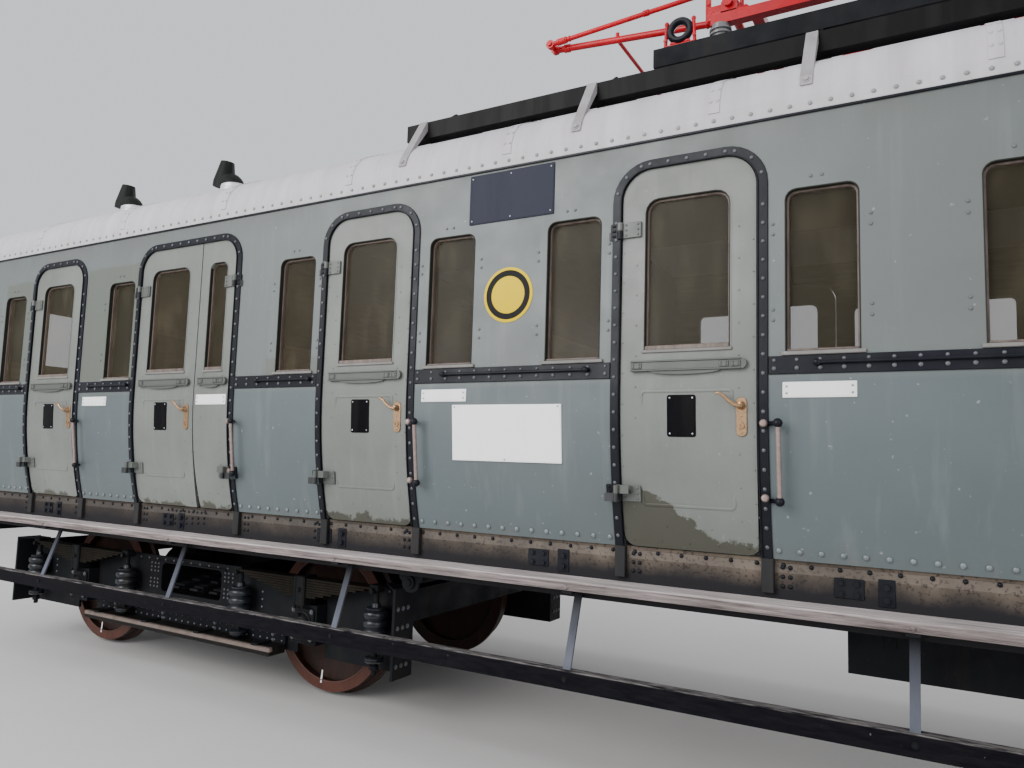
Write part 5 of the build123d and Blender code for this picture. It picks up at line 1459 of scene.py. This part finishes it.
class RAILCAR_OT_collector_dress(Operator):
    """Models the castings, collars, bolts and springs of the collector and the black rings beside it"""

    bl_idname = "railcar.collector_dress"
    bl_label = "Collector fittings"

    def execute(self, context):
        corner = self.base_corner()
        base = both_sides([corner, mirrored(corner, ALONG)])
        coils = []
        for y in (-0.32, 0.32):
            for way in (-1, 1):
                coils.append(helix((way * 0.55, y, 4.245), (way * 1.50, y, 4.262), 0.032, 0.0065, 44, 12, 5))
                coils.append(bar((way * 1.50, y, 4.262), (way * 1.65, y, 4.275), 0.010, 8))
                coils.append(bar((way * 0.40, y, 4.242), (way * 0.55, y, 4.245), 0.010, 8))
        coils += [cross_bar(x, 0.36, 4.242, 0.014, 10) for x in (-0.40, 0.40)]
        seated(joined([base, coated(coils, "red_collector_paint")]), "collector_castings", "car_body")
        for hand, way in (("left", -1), ("right", 1)):
            self.collars(f"lower_{{}}{hand}", (way * 1.65, -0.69, 4.245), (way * 2.8295, -0.69, 4.3482),
                         ((0.085, 0.150, 0.0275), (0.160, 0.176, 0.0255), (1.075, 1.120, 0.0265)),
                         (0.10, 0.135, 1.095), 0.026, 0.007)
            self.collars(f"upper_{{}}{hand}", (way * 2.8295, -0.765, 4.3482), (way * -0.03, -0.51, 4.6956),
                         ((0.045, 0.115, 0.0215), (0.126, 0.138, 0.0195), (0.62, 0.66, 0.0195)),
                         (0.060, 0.100, 0.64), 0.019, 0.006)
        return {"FINISHED"}

    def base_corner(self):
        """Bearing casting, oil cup, tall plate and ringed stub at the left near corner."""
        x, y, z = -1.65, -0.79, 4.245
        parts = [plate(x, 0.11, (-0.875, -0.735), (4.193, 4.209), 0.004, 0.02, "Z"),
                 plate(x, 0.040, (-0.835, -0.745), (4.205, 4.262), 0.010),
                 turned([(0.0, 0.0), (0.0, 0.050), (-0.010, 0.054), (-0.060, 0.054), (-0.072, 0.046),
                         (-0.072, 0.0)],
                        (x, -0.765, z)),
                 plate(x - 0.134, 0.016, (-0.806, -0.794), (4.196, 4.46)),
                 plate(x - 0.060, 0.080, (-0.812, -0.796), (4.200, 4.290), 0.004),
                 bar((x + 0.055, y, 4.20), (x + 0.055, y, 4.335), 0.012),
                 turned([(4.330, 0.0), (4.330, 0.018), (4.336, 0.022), (4.352, 0.022), (4.358, 0.016),
                         (4.358, 0.0)],
                        (x + 0.055, y, 0.0), "Z", 16)]
        parts += [bolt((x + dx, dy, 4.209), 0.012, UPWARD) for dx in (-0.09, 0.09) for dy in (-0.855, -0.755)]
        for angle in (math.tau * turn / 6 for turn in range(6)):
            parts.append(bolt((x + 0.036 * math.cos(angle), -0.837, z + 0.036 * math.sin(angle)), 0.006))
        parts += [bolt((x - 0.134, -0.806, height), 0.009) for height in (4.31, 4.37, 4.43)]
        x, y, low = -1.936, -0.85, 4.060
        for way in (-1, 1):
            top = (x + way * 0.080, y, low + 0.165)
            parts += [bar((x + way * 0.088, y, low), top, 0.011), ball(top, 0.014),
                      bolt((x + way * 0.086, y - 0.011, low + 0.06), 0.008)]
        parts.append(plate(x, 0.090, (y - 0.012, y + 0.012), (low + 0.012, low + 0.030), 0.004))
        parts.append(plate(x, 0.060, (y - 0.010, y + 0.010), (low + 0.028, low + 0.048), 0.006))
        circle = [(0.024 * math.sin(math.tau * step / 10), 0.058 + 0.022 * math.cos(math.tau * step / 10))
                  for step in range(11)]
        ring = turned(circle, (x, y, low + 0.108), steps=28)
        return joined([coated(parts, "red_collector_paint"), coated(ring, "black_trim_paint")])

    def collars(self, name, start, end, rings, shares, out, radius):
        """Collars and bolts along one arm and its twin; the name has a gap where the node's name differs."""
        start = Vector(start)
        line = (Vector(end) - start).normalized()
        parts = [bar(start + line * near, start + line * far, wide, 14, 0.003) for near, far, wide in rings]
        parts += [bolt(start + line * share + Vector((0, -out, 0)), radius) for share in shares]
        seated(both_sides(coated(parts, "red_collector_paint")), f"collector_{name.format('')}_collars",
               f"collector_{name.format('arms_')}")


class RAILCAR_OT_end_fittings(Operator):
    """Models the lamp lenses, end handrails, buffer bolts and the links on the draw hooks"""

    bl_idname = "railcar.end_fittings"
    bl_label = "End fittings"

    def execute(self, context):
        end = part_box("floor")[1].x
        parts, lenses, rails = [], [], []
        for y, z in ((-0.98, 1.56), (0.98, 1.56), (0.0, 3.08)):
            lenses.append(turned([(0.0, 0.0), (0.0, 0.092), (0.003, 0.092), (0.008, 0.070), (0.011, 0.040),
                                  (0.0122, 0.0)], (end + 0.0975, y, z), "X", 28))
            for angle in (math.tau * (turn + 0.5) / 4 for turn in range(4)):
                parts.append(rivet((end + 0.110, y + 0.103 * math.cos(angle), z + 0.103 * math.sin(angle)),
                                   0.005, outward=ALONG, sides=6))
        x = end + 0.070
        for y in (-1.26, 1.26):
            rails.append(bar((x, y, 1.40), (x, y, 2.00), 0.012))
            for z in (1.40, 2.00):
                rails += [ball((x, y, z), 0.020), bar((end - 0.002, y, z), (x, y, z), 0.010, 10)]
            parts += [rivet((end, y, z), 0.009, 5, (0, 0, 0.09), ALONG) for z in (1.34, 1.80, 2.26, 2.72)]
        parts += [bolt((end + 0.025, y + dy, 1.05 + dz), 0.016, ALONG) for y in (-0.875, 0.875)
                  for dy in (-0.135, 0.135) for dz in (-0.130, 0.130)]
        x, z = end + 0.235, 1.035
        for y in (-0.036, 0.036):
            parts += [bar((x, y, z), (x + 0.02, y, z - 0.26), 0.014), ball((x + 0.02, y, z - 0.26), 0.022)]
        parts += [cross_bar(x + 0.02, 0.080, z - 0.26, 0.017),
                  bar((x + 0.02, 0, z - 0.26), (x + 0.022, 0, z - 0.46), 0.018), cross_bar(x, 0.05, z, 0.015)]
        piece = joined([coated(parts, "black_running_gear_paint"), coated(lenses, "clear_lamp_lens"),
                        coated(rails, "dull_pink_rail_metal")])
        seated(joined([piece, mirrored(piece, ALONG)]), "end_fittings", "car_body")
        return {"FINISHED"}


class RAILCAR_OT_under_gear(Operator):
    """Models the brake shaft brackets, the long pipes and the tank straps under the floor"""

    bl_idname = "railcar.under_gear"
    bl_label = "Gear under the floor"

    def execute(self, context):
        shaft = 0.905
        lobe = turned([(0.0, 0.0), (0.0, 0.062), (-0.016, 0.062), (-0.018, 0.040), (-0.034, 0.038),
                       (-0.036, 0.022), (-0.044, 0.020), (-0.044, 0.0)], (0, -1.236, shaft))
        bracket = joined([plate(0.0, 0.085, (-1.252, -1.236), (shaft, 1.012), 0.003, 0.03), lobe,
                          bar((0, -1.245, shaft), (0, 0.0, shaft), 0.022)])
        parts = spread(bracket, (-3.42, 3.42))
        for y, radius in ((-0.70, 0.019), (-0.78, 0.013)):
            parts.append(bar((-3.3, y, 0.93), (3.3, y, 0.93), radius, 10))
        for x in (-0.9, -0.3, 0.3, 0.9):
            parts.append(plate(x, 0.03, (-0.566, -0.558), (0.752, 1.17)))
            parts += [bolt((x, -0.566, z), 0.012) for z in (0.80, 0.96, 1.12)]
        piece = both_sides(coated(parts, "black_running_gear_paint"))
        seated(piece, "under_floor_gear", "car_body")
        return {"FINISHED"}


class RAILCAR_OT_stage(Operator):
    """Sets the floor, the soft lights and the camera"""

    bl_idname = "railcar.stage"
    bl_label = "Stage"

    def execute(self, context):
        stage = context.scene.railcar_stage
        clear_selection()
        bpy.ops.mesh.primitive_plane_add(size=160.0, location=(0, 0, 0))
        floor = context.object
        floor.name = "studio_floor"
        coated(floor, "plain_studio_floor")
        world = context.scene.world or bpy.data.worlds.new("studio_air")
        context.scene.world = world
        world.use_nodes = True
        air = world.node_tree.nodes["Background"].inputs
        air["Color"].default_value = (0.93, 0.95, 1.0, 1.0)
        air["Strength"].default_value = stage.sky
        for name, spot, aim, size, power in (
                ("key_light", (-7.5, -10.8, 6.5), (-4.5, 0.0, 2.0), 9.0, stage.key_power),
                ("fill_light", (8.0, -10.0, 5.0), (1.0, 0.0, 2.0), 8.0, stage.fill_power),
                ("far_light", (-2.0, 12.0, 7.0), (-2.0, 0.0, 2.0), 9.0, stage.fill_power)):
            clear_selection()
            bpy.ops.object.light_add(type="AREA", location=spot)
            light = context.object
            light.name = name
            light.data.shape = "DISK"
            light.data.size = size
            light.data.energy = power
            light.rotation_euler = (Vector(aim) - Vector(spot)).to_track_quat("-Z", "Y").to_euler()
        bpy.ops.object.camera_add(location=(-0.6239, -4.9900, 1.6598 + RAIL_HEAD))
        camera = context.object
        # The camera's right, up and backward ways, lens and shifts come from the fit to the photograph.
        ways = ((0.87003, 0.49209, 0.02997), (0.02066, -0.09713, 0.99506), (0.49257, -0.86511, -0.09467))
        camera.rotation_euler = Matrix(ways).transposed().to_euler()
        camera.data.sensor_width = 36.0
        camera.data.lens = 764.68 * 36.0 / 1024.0
        camera.data.shift_x = -1.88 / 1024.0
        camera.data.shift_y = 0.65 / 1024.0
        camera.data.clip_start = 0.05
        camera.data.clip_end = 300.0
        context.scene.camera = camera
        return {"FINISHED"}


class RAILCAR_PT_sidebar(Panel):
    """Lists the railcar's pieces and settings."""

    bl_idname = "RAILCAR_PT_sidebar"
    bl_label = "Railcar"
    bl_space_type = "VIEW_3D"
    bl_region_type = "UI"
    bl_category = "Railcar"

    def draw(self, context):
        for group in (context.scene.railcar_colours, context.scene.railcar_sizes,
                      context.scene.railcar_stage):
            box = self.layout.box()
            for name in group.__annotations__:
                box.prop(group, name)
        for step in STEPS:
            self.layout.operator(step.bl_idname)


GROUPS = (RailcarColours, RailcarSizes, RailcarStage)
STEPS = (
    RAILCAR_OT_solid_finishes, RAILCAR_OT_doorway_strips, RAILCAR_OT_belt, RAILCAR_OT_windows,
    RAILCAR_OT_door_furniture, RAILCAR_OT_grab_rails, RAILCAR_OT_signs, RAILCAR_OT_roof_trim,
    RAILCAR_OT_running_board, RAILCAR_OT_bogie_springs, RAILCAR_OT_bogie_dress, RAILCAR_OT_wheel_dress,
    RAILCAR_OT_collector_dress, RAILCAR_OT_end_fittings, RAILCAR_OT_under_gear, RAILCAR_OT_stage,
)


def register():
    for item in GROUPS + STEPS + (RAILCAR_PT_sidebar,):
        bpy.utils.register_class(item)
    bpy.types.Scene.railcar_colours = PointerProperty(type=RailcarColours)
    bpy.types.Scene.railcar_sizes = PointerProperty(type=RailcarSizes)
    bpy.types.Scene.railcar_stage = PointerProperty(type=RailcarStage)


def unregister():
    del bpy.types.Scene.railcar_colours
    del bpy.types.Scene.railcar_sizes
    del bpy.types.Scene.railcar_stage
    for item in reversed(GROUPS + STEPS + (RAILCAR_PT_sidebar,)):
        bpy.utils.unregister_class(item)


def main():
    register()
    for step in STEPS:
        section, word = step.bl_idname.split(".")
        getattr(getattr(bpy.ops, section), word)()


if __name__ == "__main__":
    main()
